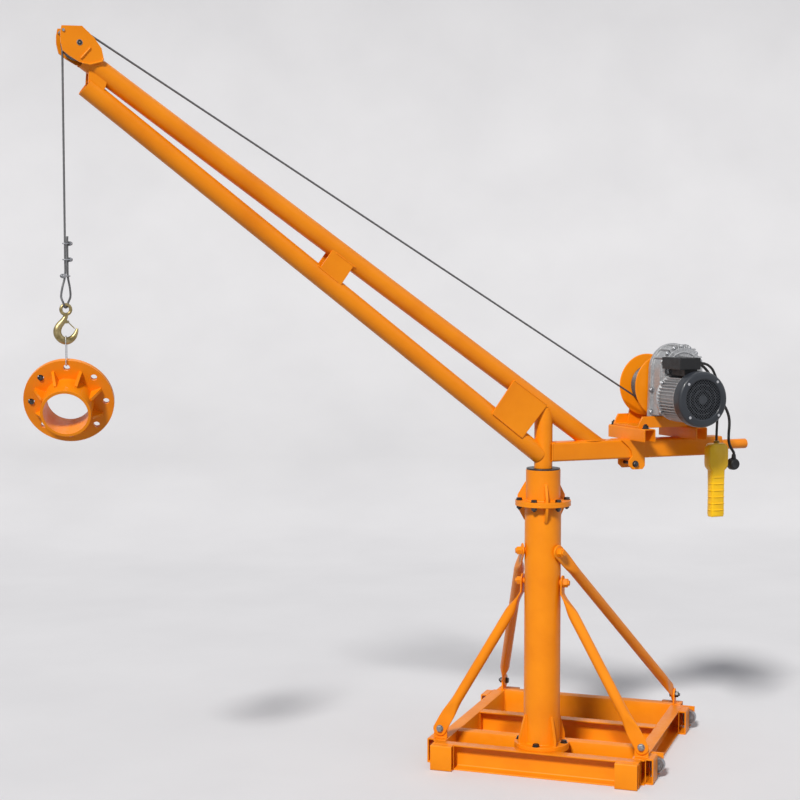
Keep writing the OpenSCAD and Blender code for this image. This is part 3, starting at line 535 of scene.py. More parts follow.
def addRope(points):  # a laid rope: its strands show as lobes that turn along it
    f, path = ropeFacts, [Vector(p) for p in points]
    fine, along, total = [], [], 0.0
    for a, b in zip(path, path[1:]):
        length = (b - a).length
        steps = max(1, int(round(length / f["step"])))
        for s in range(steps):
            fine.append(a.lerp(b, s / steps))
            along.append(total + length * s / steps)
        total += length
    fine.append(path[-1])
    along.append(total)
    low, rise, power = f["hollow"]

    def shape(a, i):
        twist = 2 * math.pi * along[i] / f["pitch"]
        r = f["radius"] * (low + rise * abs(math.cos(f["strands"] / 2 * (a - twist))) ** power)
        return math.cos(a) * r, math.sin(a) * r
    addSweep(fine, f["radius"], f["sides"], ref=yAxis, shape=shape)


dx, dz = rf["drum"][0] - rf["sheave"][0], rf["drum"][1] - rf["sheave"][1]
ropeAngle = math.degrees(math.atan2(dz, dx) - math.asin((rf["sheavePitch"] + rf["run"]) / math.hypot(dx, dz)))
ropeNormal = upright(90 + ropeAngle)
sheaveCenter = Vector((rf["sheave"][0], 0, rf["sheave"][1]))
drumCenter = Vector((rf["drum"][0], 0, rf["drum"][1]))
wrapFrom, wrapSteps = 90 + ropeAngle, rf["wrapSteps"]
wrap = [sheaveCenter + upright(wrapFrom + (180 - wrapFrom) * i / wrapSteps, rf["sheavePitch"])
        for i in range(wrapSteps + 1)]
addRope([drumCenter - ropeNormal * rf["run"]] + wrap)
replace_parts(meshPiece("laid_boom_rope", "boom", "wire_rope", smooth=60), "boom_rope")
addRope([(rf["fallX"], 0, z) for z in rf["fall"]])
fallRope = meshPiece("laid_fall_rope", None, "wire_rope", smooth=60)
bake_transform(fallRope)
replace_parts(fallRope, "fall_rope")

# drum: windings, two flanges with rolled rims, hub and shaft end
windingFacts = {"turns": 15, "steps": 40, "radius": 59.6, "rope": 3.05, "half": 45.5, "lead": 3.2, "core": (58.5, 45.2)}
wf = windingFacts
count = wf["turns"] * wf["steps"]
winding = []
for i in range(count + 1):
    y = -wf["half"] + wf["lead"] + 2 * (wf["half"] - wf["lead"]) * i / count
    winding.append(drumCenter + upright(360 * i / wf["steps"], wf["radius"], -y))
addSweep(winding, wf["rope"], 8)
radius, bore = wf["core"]
addDisc(place(drumCenter + Vector((0, wf["half"], 0)), near), radius, 2 * wf["half"], 48, bore=bore, soft=0.01)
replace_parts(meshPiece("drum_windings", "drum", "wire_rope", smooth=50), "drum_rope")

# flange heights; count, circle, height and size of the bolts; rim; turned parts with their steps
drumFacts = {"flanges": (-50, 46), "bolts": (6, 36, -50, 6), "rim": [(44.9, 0), (94, 0), (96, 0), (98.6, 0.4),
    (100, 1.6), (100, 2.4), (98.6, 3.6), (96, 4), (44.9, 4), (44.9, 0)],
    "turned": [([(0, -46), (45, -46), (45, 46), (0, 46)], 48), ([(0, -76), (11, -76), (12, -75), (12, -50),
    (0, -50)], 24), ([(0, 46.5), (30, 46.5), (30, 50.2), (0, 50.2)], 32)]}
m = place(drumCenter, near)
for z in drumFacts["flanges"]:
    addLathe(drumFacts["rim"], m @ shift(z=z), 72)
for profile, steps in drumFacts["turned"]:
    addLathe(profile, m, steps)
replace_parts(meshPiece("drum_shell", "drum", "orange_paint", smooth=40), "hoist_drum")
count, radius, z, size = drumFacts["bolts"]
for k in range(count):
    addBolt(m @ flat(360 * k / count, radius, z), yAxis, size, washer=False)
meshPiece("drum_bolts", "drum", "dark_steel")
print("stage: ropes and drum")

# motor with cooling fins
motorFacts = {"at": (400, -130, 1180), "length": 120, "fins": 46, "bare": (62, 118), "finFrom": 11, "finEnds": 20,
    "fin": [(66, -1.5), (76.0, -1.0), (76.9, -0.4), (76.9, 0.4), (76.0, 1.0), (66, 1.5)],
    "front": [(0, 0), (74, 0), (76, 1.5), (76, 8), (72, 10), (68, 12)],
    "back": [(68, -9), (80, -7), (84.2, -5), (84.8, -3.5), (84.8, 0), (0, 0)], "feet": (38, 142, 218, 322),
    "footRadius": 73, "foot": (8, 12), "bolt": 6}
mf = motorFacts
motorAt = Vector(mf["at"])
addLathe(mf["front"] + [(r, z + mf["length"]) for r, z in mf["back"]], place(motorAt, near), 64)
for k in range(mf["fins"]):
    a = 360 * k / mf["fins"]
    if not mf["bare"][0] < a < mf["bare"][1]:
        m = frameMatrix(motorAt - Vector((0, mf["finFrom"], 0)), upright(a), upright(a + 90), near)
        addPrism(mf["fin"], mf["length"] - mf["finEnds"], m)
for a in mf["feet"]:  # feet of the four through bolts
    addDisc(facing(motorAt + upright(a, mf["footRadius"])), *mf["foot"], 16)
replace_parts(meshPiece("finned_motor", "boom", "cast_aluminium", smooth=34, bevel=0.4), "motor_body")
for a in mf["feet"]:
    addBolt(motorAt + upright(a, mf["footRadius"], -mf["foot"][1]), near, mf["bolt"])
meshPiece("motor_bolts", "boom", "zinc_steel")

# fan cover: rounded cup, recessed guard of crossed wires
coverFacts = {"y": -250, "depth": 37, "opening": 61, "wire": 0.6, "pitch": 6.4, "wireIn": 5.2, "cross": 0.8,
    "least": 6, "ring": (1, -6.6, -5.6), "cap": (-7, 12, 2.4, 28), "screwAt": (72.5, -0.7), "rim": 1.5,
    "rings": (14, 30, 46), "cup": [(83, -37), (86, -37), (86, -12)], "round": (76, -12, 10, 11),
    "lip": [(70, -0.6), (66, 0), (63, -0.6), (61, -3), (61, -7), (64, -7), (64, -4), (76, -4), (83, -10), (83, -37)],
    "screw": [(0, 0), (4.2, 0), (4.2, 0.8), (3.4, 1.0), (0.8, 0.9), (0, 0.9)], "screws": (-42, 48, 138, 228)}
cf = coverFacts
coverRear = place((mf["at"][0], cf["y"], mf["at"][2]), near)
coverFront = coverRear @ shift(z=cf["depth"])  # heights inwards from here are negative
x, z, w, h = cf["round"]
turn = [(x + w * math.cos(rad(a)), z + h * math.sin(rad(a))) for a in range(15, 91, 15)]
addLathe(cf["cup"] + turn + cf["lip"], coverFront, 72)
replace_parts(meshPiece("cover_shell", "boom", "dark_cover", smooth=40), "fan_cover")
span, wire = int(cf["opening"] / cf["pitch"]) + 1, cf["wire"]
for tilt, back in ((45, cf["cross"]), (-45, 0)):
    m = coverFront @ shift(z=-cf["wireIn"] - back) @ turned(tilt)
    for k in range(-span, span + 1):
        off = k * cf["pitch"]
        half = math.sqrt(max(0, (cf["opening"] + cf["rim"]) ** 2 - off * off))
        if half >= cf["least"]:
            addBox((-half, off - wire, -wire), (half, off + wire, wire), m)
wide, low, high = cf["ring"]
for r in cf["rings"]:
    a, b = r - wide, r + wide
    addLathe([(a, low), (b, low), (b, high), (a, high), (a, low)], coverFront, 40)
z, radius, height, steps = cf["cap"]
addDisc(coverFront @ shift(z=z), radius, height, steps)
meshPiece("fan_guard", "boom", "dark_cover", mat="guard_wire")
# the plate is a near-black disc behind the blades, painted shade where the motor's end would show; plate and hub have a
# height, radius, thickness and steps
fanFacts = {"plate": (1.2, 81, 1.5, 56), "hub": (2, 18, 22, 28), "blades": 9, "lift": 4, "out": 38, "pitch": 38,
    "blade": ((-24, -10.5, 6), (36, 10.5, 8))}
for z, radius, height, steps in (fanFacts["plate"], fanFacts["hub"]):
    addDisc(coverRear @ shift(z=z), radius, height, steps)
for k in range(fanFacts["blades"]):
    m = coverRear @ turned(360 * k / fanFacts["blades"]) @ shift(x=fanFacts["out"], z=fanFacts["lift"])
    addBox(*fanFacts["blade"], m @ turned(fanFacts["pitch"], "X"))
meshPiece("fan_blades", "boom", "black_plastic", mat="fan_black_painted_shade")
for a in cf["screws"]:
    addLathe(cf["screw"], place(coverFront @ flat(a, *cf["screwAt"]), near), 18)
meshPiece("cover_screws", "boom", "bright_wire")
print("stage: motor and fan cover")

# gearbox dressing: arched ribs, bosses, screws and a filler plug
gearFacts = {"at": (426, -130, 1263), "spots": (22, 45, 68, 90, 112, 135, 158), "radius": 74, "bossY": 17.6,
    "boltY": 9.6, "arches": ((57, range(-8, 189, 7), 2.6), (40, range(-4, 185, 8), 2.2)), "rays": range(14, 170, 19),
    "ray": (36, 50, 68), "flangeBolts": [(s * 81, z) for s in (-1, 1) for z in (1130, 1200)], "flangeY": -72,
    "boss": (6.5, 8, 16), "plate": (20, 4, 32), "rayWide": 1.9, "proud": -0.5, "sizes": (5, 8)}
gf = gearFacts
gearAt = Vector(gf["at"])
for a in gf["spots"]:
    addDisc(place(gearAt + upright(a, gf["radius"], gf["bossY"]), near), *gf["boss"])
for radius, angles, wide in gf["arches"]:
    addSweep([gearAt + upright(a, radius, gf["proud"]) for a in angles], wide, 8)
for a in gf["rays"]:
    addSweep([gearAt + upright(a, r, -0.4) for r in gf["ray"]], gf["rayWide"], 6)
addDisc(place(gearAt + Vector((0, 0, 2)), near), *gf["plate"])
meshPiece("gearbox_ribs", "boom", "cast_aluminium", smooth=40)
for a in gf["spots"]:
    addBolt(gearAt + upright(a, gf["radius"], gf["boltY"]), near, gf["sizes"][0])
for x, z in gf["flangeBolts"]:
    addBolt((gearAt.x + x, gf["flangeY"], z), near, gf["sizes"][1])
meshPiece("gearbox_bolts", "boom", "zinc_steel")
# a gland has a first step, pitch, radius, loss of radius, thickness and count
boxFacts = {"screws": [(x, y, 1306) for x in (355, 411) for y in (-226, -142)],
    "seam": (347.5, 419, -235, -133.5, 1297), "glands": ((419, -160, 1288), (419, -205, 1288)),
    "gland": (3, 4.2, 9.2, 0.55, 1.8, 4),
    "filler": ((28, 32, 70), (0.4, 0, 1), 14, 9), "screw": (3.2, 0.9, 14), "seamWide": 1.2}
at, axis, across, height = boxFacts["filler"]
addHex(place(gearAt + Vector(at), axis), across, height)
for spot in boxFacts["screws"]:
    addDisc(place(spot, zAxis), *boxFacts["screw"])
meshPiece("box_screws", "boom", "dark_steel")
x0, x1, y0, y1, z = boxFacts["seam"]
addSweep([(x0, y0, z), (x1, y0, z), (x1, y1, z), (x0, y1, z)], boxFacts["seamWide"], 6, closed=True)
first, step, radius, less, height, count = boxFacts["gland"]
for x, y, z in boxFacts["glands"]:
    for k in range(count):
        addDisc(place((x + first + step * k, y, z), xAxis), radius - less * k, height)
meshPiece("box_trim", "boom", "black_plastic")
print("stage: gearbox")

# tail: rounded square tubes, open at their ends, and the handle
tailFacts = {"size": 60, "wall": 4, "start": 15.7, "end": 640, "top": 1040, "middle": 1010, "corner": 7, "inner": 3.5,
    "plug": 4.2}
tf = tailFacts
m = frameMatrix((tf["start"], 0, tf["middle"]), yAxis, zAxis, xAxis)
length, inside = tf["end"] - tf["start"], tf["size"] - 2 * tf["wall"]
outer, inner = roundRect(tf["size"], tf["size"], tf["corner"], 5), roundRect(inside, inside, tf["inner"], 5)
addShellPrism(outer, inner, length - tf["wall"], m)
addPrism(outer, tf["plug"], m @ shift(z=length - tf["plug"]))
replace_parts(meshPiece("rounded_beam", "boom", "orange_paint", smooth=30), "tail_beam")
barFacts = {"spots": (310, 500), "back": 100, "length": 224,
    "outline": [(-20, 0), (-17, 0), (-17, 34.5), (-16.2, 36.2), (-14.5, 37), (14.5, 37), (16.2, 36.2), (17, 34.5),
    (17, 0), (20, 0), (20, 35), (19.3, 37.6), (17.6, 39.3), (15, 40), (-15, 40), (-17.6, 39.3), (-19.3, 37.6),
    (-20, 35)]}
for x in barFacts["spots"]:
    addPrism(barFacts["outline"], barFacts["length"], facing((x, barFacts["back"], tf["top"])))
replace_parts(meshPiece("rounded_bars", "boom", "orange_paint", smooth=30), "hoist_crossbars")
handleFacts = [(13, 0), (16, 0), (16, 107.5), (15.4, 109.4), (14.4, 110), (13.4, 109.6), (13, 108.5), (13, 0)]
addLathe(handleFacts, place((tf["end"], 0, tf["middle"]), xAxis), 40)
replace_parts(meshPiece("handle_tube", "boom", "orange_paint", smooth=40), "tail_handle")
print("stage: tail")

# pendant: moulded body, finger ridges, two rocker keys on the far side
pendantFacts = {"at": (558, -120, 792), "shoulder": 150, "narrow": 0.86, "top": 234,
    "half": [(22, 0), (24, 10), (23.4, 60), (24, 110), (24.5, 149), (30, 155), (35, 163), (36, 172), (36, 214),
    (34, 224), (28, 232), (20, 236)], "rows": ((-17.5, 5.0), (-15.5, 1.6), (-12, 0.2), (12, 0.2), (15.5, 1.6),
    (17.5, 5.0)), "ridge": [(22.6, 9), (23.9, 0), (23.4, -9), (21.5, -13.0), (16, -15.0), (8, -15.5)],
    "collar": [(0, 0), (11, 0), (11, 1.0), (10, 2.2), (8.6, 3.0), (8.6, 9.6), (0, 9.6)], "keys": (178, 206),
    "key": (26, 20, 4, 4), "keyHigh": 2.3, "keyY": 15.6, "ridges": range(22, 148, 21), "ridgeWide": 2.1,
    "ring": (9.2, 1.3, 22), "rings": (3.2, 5.4, 7.6)}
pf = pendantFacts
pendantAt = Vector(pf["at"])
rows = []
for y, inset in pf["rows"]:
    row = []
    for x, z in [(-22, 0)] + pf["half"] + [(-x, z) for x, z in pf["half"][:0:-1]]:
        thin = 1.0 if z > pf["shoulder"] else pf["narrow"]
        lift = inset if z == 0 else (-inset if z == 236 else 0)
        row.append(bm.verts.new(pendantAt + Vector((x - math.copysign(inset, x), y * thin, z + lift))))
    rows.append(row)
joinRings(rows)
bm.faces.new(rows[0])
bm.faces.new(rows[-1])
ridge = [(-x, y) for x, y in pf["ridge"]] + [(0, -15.6)] + pf["ridge"][::-1]
for z in pf["ridges"]:
    addSweep([pendantAt + Vector((x, y, z)) for x, y in ridge], pf["ridgeWide"], 8)
collar = place(pendantAt + Vector((0, 0, pf["top"])), zAxis)
addLathe(pf["collar"], collar, 24)
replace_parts(meshPiece("pendant_shell", "boom", "yellow_plastic", smooth=38, bevel=1.2, segments=3), "pendant")
for z in pf["keys"]:
    m = frameMatrix(pendantAt + Vector((0, pf["keyY"], z)), xAxis, zAxis, yAxis)
    addPrism(roundRect(*pf["key"]), pf["keyHigh"], m)
for z in pf["rings"]:
    addDisc(collar @ shift(z=z), *pf["ring"])
meshPiece("pendant_keys", "boom", "black_rubber", bevel=0.6)

# plug: round body with a side entry and two pins
plugFacts = {"at": (624, -120, 958), "body": [(0, 0), (17.5, 0), (18.6, 0.8), (19, 2), (19, 14), (18.4, 18),
    (17, 21.5), (14.5, 24.4), (12, 25.4), (11, 24.8), (0, 24.6)],
    "entry": [(0, 0), (9, 0), (8.8, 2), (7.6, 3), (8.4, 4.4), (7.2, 6), (7.9, 7.4), (6.8, 9), (7.4, 10.4), (6.3, 12),
    (6.9, 13.6), (6.2, 15.2), (6.4, 17.5), (0, 17.5)], "grip": (18.4, (2, 7, 11.6), 0.9), "bare": (60, 120),
    "pin": [(0, 0), (2.4, 0), (2.4, 18.4), (1.6, 19.8), (0, 20)]}
plugAt = Vector(plugFacts["at"])
addLathe(plugFacts["body"], place(plugAt + Vector((0, 13, 0)), near), 40)
addLathe(plugFacts["entry"], place(plugAt + Vector((0, 0, 14)), zAxis), 24)
radius, depths, wide = plugFacts["grip"]
for a in range(0, 360, 20):
    if not plugFacts["bare"][0] < a < plugFacts["bare"][1]:
        addSweep([plugAt + upright(a, radius, y) for y in depths], wide, 6)
plugShell = meshPiece("plug_shell", "boom", "black_plastic", smooth=40)
for x in (-9.5, 9.5):
    addLathe(plugFacts["pin"], place(plugAt + Vector((x, 12, 0)), yAxis), 16)
plugPins = meshPiece("plug_pins", "boom", "bright_wire")
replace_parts(plugShell, "power_plug")
print("stage: pendant and plug")

# hook with its eye ring, latch pin
hookFacts = {"at": (-1482, 0, 1459), "ring": 13.5, "wire": 4.5, "pin": (5, 0, -34), "flat": (14, 46, 0.88, 0.97),
    "point": (0.8, 0.55), "ears": ((4.6, 6.9), (-6.9, -4.6)), "ear": (3, 4, [(-12, 6), (-14, -5)]),
    "path": [(0, 0, -12), (-2, 0, -22), (-9, 0, -33), (-19, 0, -45), (-24, 0, -58), (-22, 0, -71), (-13, 0, -82),
    (0, 0, -86.5), (12, 0, -83), (21, 0, -75), (27, 0, -65), (31, 0, -53)],
    "size": [6.5, 7, 8.5, 10, 11, 11, 10.5, 10.5, 9.5, 8, 6, 3.5]}
hf = hookFacts
hookAt = Vector(hf["at"])
path = [hookAt + p for p in smoothPath(hf["path"], 5)]
radii = [s.x for s in smoothPath([(s, 0, 0) for s in hf["size"]], 5)]
path.append(path[-1] + (path[-1] - path[-2]).normalized() * hf["point"][0])
radii.append(radii[-1] * hf["point"][1])


def hookSection(a, i):  # pressed a little flatter round the bend
    first, last, slim, plain = hf["flat"]
    return math.cos(a) * radii[i] * (slim if first < i < last else plain), math.sin(a) * radii[i]


addSweep(path, radii, 24, ref=yAxis, shape=hookSection)
addSweep([hookAt + upright(a, hf["ring"]) for a in range(0, 360, 9)], hf["wire"], 18, closed=True, ref=yAxis)
wide, high, root = hf["ear"]
for y0, y1 in hf["ears"]:
    ear = [(wide * math.cos(rad(a)), high * math.sin(rad(a))) for a in range(-80, 81, 20)] + root
    addPrism(ear, y1 - y0, facing(hookAt + Vector(hf["pin"]) + Vector((0, y1, 0))))
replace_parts(meshPiece("forged_hook", "hook", "yellow_zinc", smooth=45), "lifting_hook")
addLathe([(0, 0), (1.55, 0), (1.55, 14), (0, 14)], place(hookAt + Vector(hf["pin"]) + Vector((0, 7, 0)), near), 14)
meshPiece("latch_pin", "hook", "zinc_steel")
print("stage: hook")

# rope eye and its three clips
clipFacts = {"rope": 4.35, "legs": 5.2, "wire": 1.9, "tip": 17.0, "half": 6.0, "nut": (11.0, 8.4, 4.2),
    "saddle": [(6.6, -9.2), (9.2, -9.8), (11.0, -9.0), (11.0, 9.0), (9.2, 9.8), (6.6, 9.2), (4.6, 3.0), (4.6, -3.0)]}


def addClip(center, across):  # a bent bolt round both ropes, its saddle and two nuts on the side across names
    f = clipFacts
    ax, up = Vector(across).normalized(), Vector(zAxis)
    m = frameMatrix(center, ax, ax.cross(up).normalized(), up)
    addPrism(f["saddle"], 2 * f["half"], m @ shift(z=-f["half"]))
    bend = [(-f["rope"] - f["legs"] * math.cos(rad(a)), f["legs"] * math.sin(rad(a)), 0) for a in range(-80, 81, 20)]
    bent = [(f["tip"], -f["legs"], 0)] + bend + [(f["tip"], f["legs"], 0)]
    addSweep([m @ Vector(p) for p in bent], f["wire"], 10)
    lift, wide, height = f["nut"]
    for side in (-1, 1):
        addHex(place(m @ Vector((lift, side * f["legs"], 0)), ax), wide, height)


eyeFacts = {"at": (-1482, 0, 1648), "turn": 55, "open": 22, "fade": (-176, -150), "bulge": (0.12, -138, 26),
    "clips": [(-8, 1), (-52, 1), (-97, -1)], "middle": 3.75, "route": [(0, 0), (0, -30), (0, -60), (0, -88),
    (-3, -106), (-8, -124), (-12, -144), (-14, -160), (-13, -172), (-9.5, -180.4), (-5, -183.1), (0, -183.8),
    (5, -183.1), (9.5, -180.4), (13, -172), (14.5, -160), (14, -144), (12, -124), (9, -106), (7.5, -88), (7.5, -60),
    (7.5, -30), (7.5, 0), (8.2, 12)]}
ef = eyeFacts


def turnEye(x, z):  # the eye lies in the hook's ring below and opens wider above it
    low, high = ef["fade"]
    grow, middle, spread = ef["bulge"]
    t = ease(min(1.0, max(0.0, (z - low) / (high - low))))
    wide = 1 + grow * math.exp(-((z - middle) / spread) ** 2)
    return turned(ef["turn"] + (ef["open"] - ef["turn"]) * t) @ Vector((x * wide, 0, z))


clipAt = Vector(ef["at"])
addRope([clipAt + turnEye(p.x, p.z) for p in smoothPath([(x, 0, z) for x, z in ef["route"]], 4)])
eyeRope = meshPiece("laid_eye", "hook", "wire_rope", smooth=60)
for z, side in ef["clips"]:
    addClip(clipAt + turnEye(ef["middle"], z), side * (turnEye(1, z) - Vector((0, 0, z))))
meshPiece("rope_clips", "hook", "zinc_steel", bevel=0.3)
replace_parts(eyeRope, "rope_eye")

# two bolts left in the holes of the spare flange
flangeFacts = {"at": (-1482, 0, 1301), "turn": -18, "hang": 6, "lean": 112, "pitch": 103, "thick": 14,
    "holes": (135, 180), "across": 13, "head": 4.5, "nut": 5, "shank": (-26, 4, 24)}
lf = flangeFacts
flangeMatrix = shift(*lf["at"]) @ turned(lf["turn"]) @ shift(y=lf["hang"]) @ turned(lf["lean"], "X")
flangeMatrix = flangeMatrix @ shift(y=-lf["pitch"])
for a in lf["holes"]:
    face = flangeMatrix @ shift(*flat(a, lf["pitch"], lf["thick"] / 2))
    addHex(face, lf["across"], lf["head"])
    z, radius, length = lf["shank"]
    addDisc(face @ shift(z=z), radius, length, 18, soft=0.02)
    addHex(face @ shift(z=-lf["thick"]) @ turned(180, "X"), lf["across"], lf["nut"])
meshPiece("flange_bolts", "hook", "dark_steel")

# welds; each ring has a height, radius and bead, each line two ends, a bead and a seed
mastWeldFacts = {"rings": [(92, 57.5, 3.0), (843, 57.5, 2.6), (859, 54.5, 2.8)], "half": 4.6,
    "foot": (45, 135, 225, 315), "footLines": [((58.2, 94), (58.2, 180), 1.7, 0), ((59, 92.8), (82, 92.8), 1.7, 9)],
    "head": (11, 131, 251), "headLines": [((58.2, 841), (58.2, 796), 1.6, 0), ((55.0, 862), (55.0, 912), 1.6, 3),
    ((57, 859.8), (83, 859.8), 1.6, 5)]}
wf = mastWeldFacts


def addRibWelds(angles, matrix, lines):  # both sides of ribs that stand out from the mast
    for i, a in enumerate(angles):
        out, aside = matrix @ flat(a), matrix @ flat(a + 90)
        for s in (-mastWeldFacts["half"], mastWeldFacts["half"]):
            for start, end, size, seed in lines:
                bead([out * r + aside * s + Vector((0, 0, z)) for r, z in (start, end)], size, i + seed)


for i, (z, radius, size) in enumerate(wf["rings"]):
    bead(circle((0, 0, z), radius), size, i, closed=True)
addRibWelds(wf["foot"], baseMatrix, wf["footLines"])
addRibWelds(wf["head"], Matrix.Identity(4), wf["headLines"])
meshPiece("mast_welds", "base", "orange_paint", smooth=80)

baseWeldFacts = {"inner": (-57, 62.5, 97, 321, 355.5, 631), "innerX": 299.584, "innerZ": (8, 73),
    "tops": ((300, 62, 300, 102), (300, 316, 300, 356), (300, -62, 330, -62), (300, 632, 330, 632)),
    "upright": (3, 77), "side": (340.5, ((-50, 20), (550, 620))), "ends": ((260, 330), (-102.5, 672.5)),
    "endTops": (-102.3, 672.3), "lugs": (-36.6, -29.4), "lugX": (303, 347), "rear": (311.4, 304.4),
    "rearY": (631, 669)}
wf = baseWeldFacts


def baseBead(points, size, seed):
    bead([onBase(*p) for p in points], size, seed)


for i, (s, y) in enumerate([(s, y) for s in (-1, 1) for y in wf["inner"]]):
    baseBead([(s * wf["innerX"], y, z) for z in wf["innerZ"]], 2.2, i)
for i, (s, (x0, y0, x1, y1)) in enumerate([(s, top) for top in wf["tops"] for s in (-1, 1)]):
    baseBead([(s * x0, y0, 80), (s * x1, y1, 80)], 1.5, i + 20)
for s in (-1, 1):
    x, spans = wf["side"]
    for span in spans:
        for y, seed in zip(span, (3, 4)):
            baseBead([(s * x, y, z) for z in wf["upright"]], 1.6, seed)
        baseBead([(s * x, y, 80.2) for y in span], 1.4, 5)
    span, ends = wf["ends"]
    for x in span:
        for y in ends:
            baseBead([(s * x, y, z) for z in wf["upright"]], 1.6, 6)
    for y in wf["endTops"]:
        baseBead([(s * x, y, 80.2) for x in span], 1.4, 7)
for s in (-1, 1):
    for y in wf["lugs"]:
        baseBead([(s * x, y, 81.2) for x in wf["lugX"]], 1.6, 8)
    for x in wf["rear"]:
        baseBead([(s * x, y, 81.2) for y in wf["rearY"]], 1.6, 8)
meshPiece("base_welds", "base", "orange_paint", smooth=80)

boomWeldFacts = {"upper": ((165, 1040), (-1421, 2145)), "lower": ((0, 991), (-1421, 2071)), "post": 28.9,
    "landing": 28.8, "root": (32.2, 12, (-118, -7), (-192, -91)), "middle": (24.6, 19.5, (-698, -636), (-755, -692)),
    "tip": (34.0, [((6, -54.5), (28, -58), (61, -48), (64, -39)), ((2, -44), (30, -12))])}
wf = boomWeldFacts


def boomLine(which, x):  # height of the upper or lower tube's middle line
    (x0, z0), (x1, z1) = boomWeldFacts[which]
    return z0 + (x - x0) * (z1 - z0) / (x1 - x0)


for s in (-1, 1):
    y, lead, upper, lower = wf["root"]
    for which, (x0, x1), seed in (("upper", upper, 2), ("lower", lower, 4)):
        bead([(x, s * y, boomLine(which, x)) for x in (x0 + (lead if s > 0 else 0), x1)], 1.8, seed)
    y, off, upper, lower = wf["middle"]
    for which, ends, z in (("upper", upper, -off), ("lower", lower, off)):
        bead([(x, s * y, boomLine(which, x) + z) for x in ends], 2.0, 5)
    y, lines = wf["tip"]
    for line, size, seed in zip(lines, (2.8, 3.0), (6, 7)):
        bead([sheaveCenter + Vector((x, s * y, z)) for x, z in line], size, seed)
(x0, z0), (x1, z1) = wf["upper"]
slope = math.atan((z1 - z0) / (x0 - x1))
around = [flat(a, wf["post"]) for a in range(0, 360, 8)]  # post against the upper tube
drops = [math.sqrt(max(0.0, wf["post"] ** 2 - p.y ** 2)) / math.cos(slope) for p in around]
bead([(p.x, p.y, boomLine("upper", p.x) - drop) for p, drop in zip(around, drops)], 2.2, 11, closed=True)
print("stage: welds")
meshPiece("boom_welds", "boom", "orange_paint", smooth=80)

tailWeldFacts = {"clamp": ((16, 30.4), (1038, 982)), "bars": (289.8, 330.2, 479.8, 520.2), "barY": 22, "barZ": 1040.6}
wf = tailWeldFacts
x, y = wf["clamp"][0]
for s in (-1, 1):
    bead([(x, s * y, z) for z in wf["clamp"][1]], 2.0, 1)
bead([(27, y, 1040.4) for y in (-29, 29)], 2.0, 2)
for x in wf["bars"]:
    bead([(x, y, wf["barZ"]) for y in (-wf["barY"], wf["barY"])], 1.6, 3)
around = [flat(a, boomWeldFacts["landing"]) for a in range(0, 360, 8)]  # upper tube where it lands on the tail beam
bead([(x0 - p.x / math.sin(slope), p.y, wf["barZ"]) for p in around], 2.4, 4, closed=True)
bead(circle((640.2, 0, 1010), 16.4, axis=xAxis, steps=36), 2.2, 5, closed=True)
meshPiece("tail_welds", "boom", "orange_paint", smooth=80)

# bolts and nuts
# foot and head have a circle, heights and angles; rear and lugs a place, a way and a tail
frameBoltFacts = {"foot": (72, 92, (0, 90, 180, 270)), "head": (75, 859, 843, range(41, 361, 60)), "size": 11,
    "headSize": 10, "rear": ((311.2, 1, 5), (299.8, -1, 0)), "rearAt": (652, 112), "lug": (325, 112),
    "lugs": ((-41.2, -1, 0), (-29.9, 1, 5)), "studs": ((0, 600), (180, 600), (-25, 700), (205, 700)),
    "stud": {"out": 67.2, "washer": (15, 2.6), "across": 24, "high": 12.6, "weld": (58.0, 8.6, 2.2)}}
bf = frameBoltFacts
radius, z, angles = bf["foot"]
for a in angles:
    addBolt(baseMatrix @ flat(a, radius, z), zAxis, bf["size"], spin=a)
radius, top, under, angles = bf["head"]
for a in angles:
    addBolt(flat(a, radius, top), zAxis, bf["headSize"], spin=a)
    addBolt(flat(a, radius, under), (0, 0, -1), bf["headSize"], tail=4, spin=a + 20)
for s in (-1, 1):  # rear feet of the braces
    for x, way, tail in bf["rear"]:
        addBolt(onBase(s * x, *bf["rearAt"]), onBase(s * way, 0, 0), bf["size"], tail=tail)
meshPiece("frame_bolts", "base", "dark_steel")
x, z = bf["lug"]
for s in (-1, 1):
    for y, way, tail in bf["lugs"]:
        addBolt(onBase(s * x, y, z), onBase(0, way, 0), bf["size"], tail=tail)
meshPiece("lug_bolts", "base", "zinc_steel")
stud = bf["stud"]
for a, z in bf["studs"]:
    out = baseMatrix @ flat(a)
    m = place(out * stud["out"] + Vector((0, 0, z)), out) @ turned(12)
    addDisc(m, *stud["washer"], 24, soft=0.2)
    addHex(m @ shift(z=stud["washer"][1]), stud["across"], stud["high"])
    at, radius, size = stud["weld"]
    bead(circle(out * at + Vector((0, 0, z)), radius, axis=out, steps=20), size, 1, closed=True)
meshPiece("stud_nuts", "base", "orange_paint")

tailBoltFacts = {"hoist": [(x, y, 1080) for x in (306, 504) for y in (-104, 90)], "clamp": (310, 36.1, 963),
    "pin": (30, 4.9, 60), "sheave": (33.3, [(0, 0), (7.6, 0), (7.6, 0.4), (6.6, 1.0), (2.4, 1.0), (2.0, 0.4),
    (0, 0.4)]), "guard": (-1485, 33.2, 2215)}
bf = tailBoltFacts
for at in bf["hoist"]:
    addBolt(at, zAxis, 11, tail=4)
x, y, z = bf["clamp"]
for s, tail in ((-1, 0), (1, 6)):
    addBolt((x, s * y, z), (0, s, 0), 10, tail=tail)
meshPiece("tail_bolts", "boom", "dark_steel")
back, radius, length = bf["pin"]
addDisc(place((x, -back, z), yAxis), radius, length, 16, soft=0.01)
y, cap = bf["sheave"]
for s in (-1, 1):
    addLathe(cap, place(sheaveCenter + Vector((0, s * y, 0)), (0, s, 0)), 24)
    x, gap, z = bf["guard"]
    addDisc(place((x, s * gap, z), (0, s, 0)), 3.8, 2.6, 14)
meshPiece("pin_ends", "boom", "dark_steel")

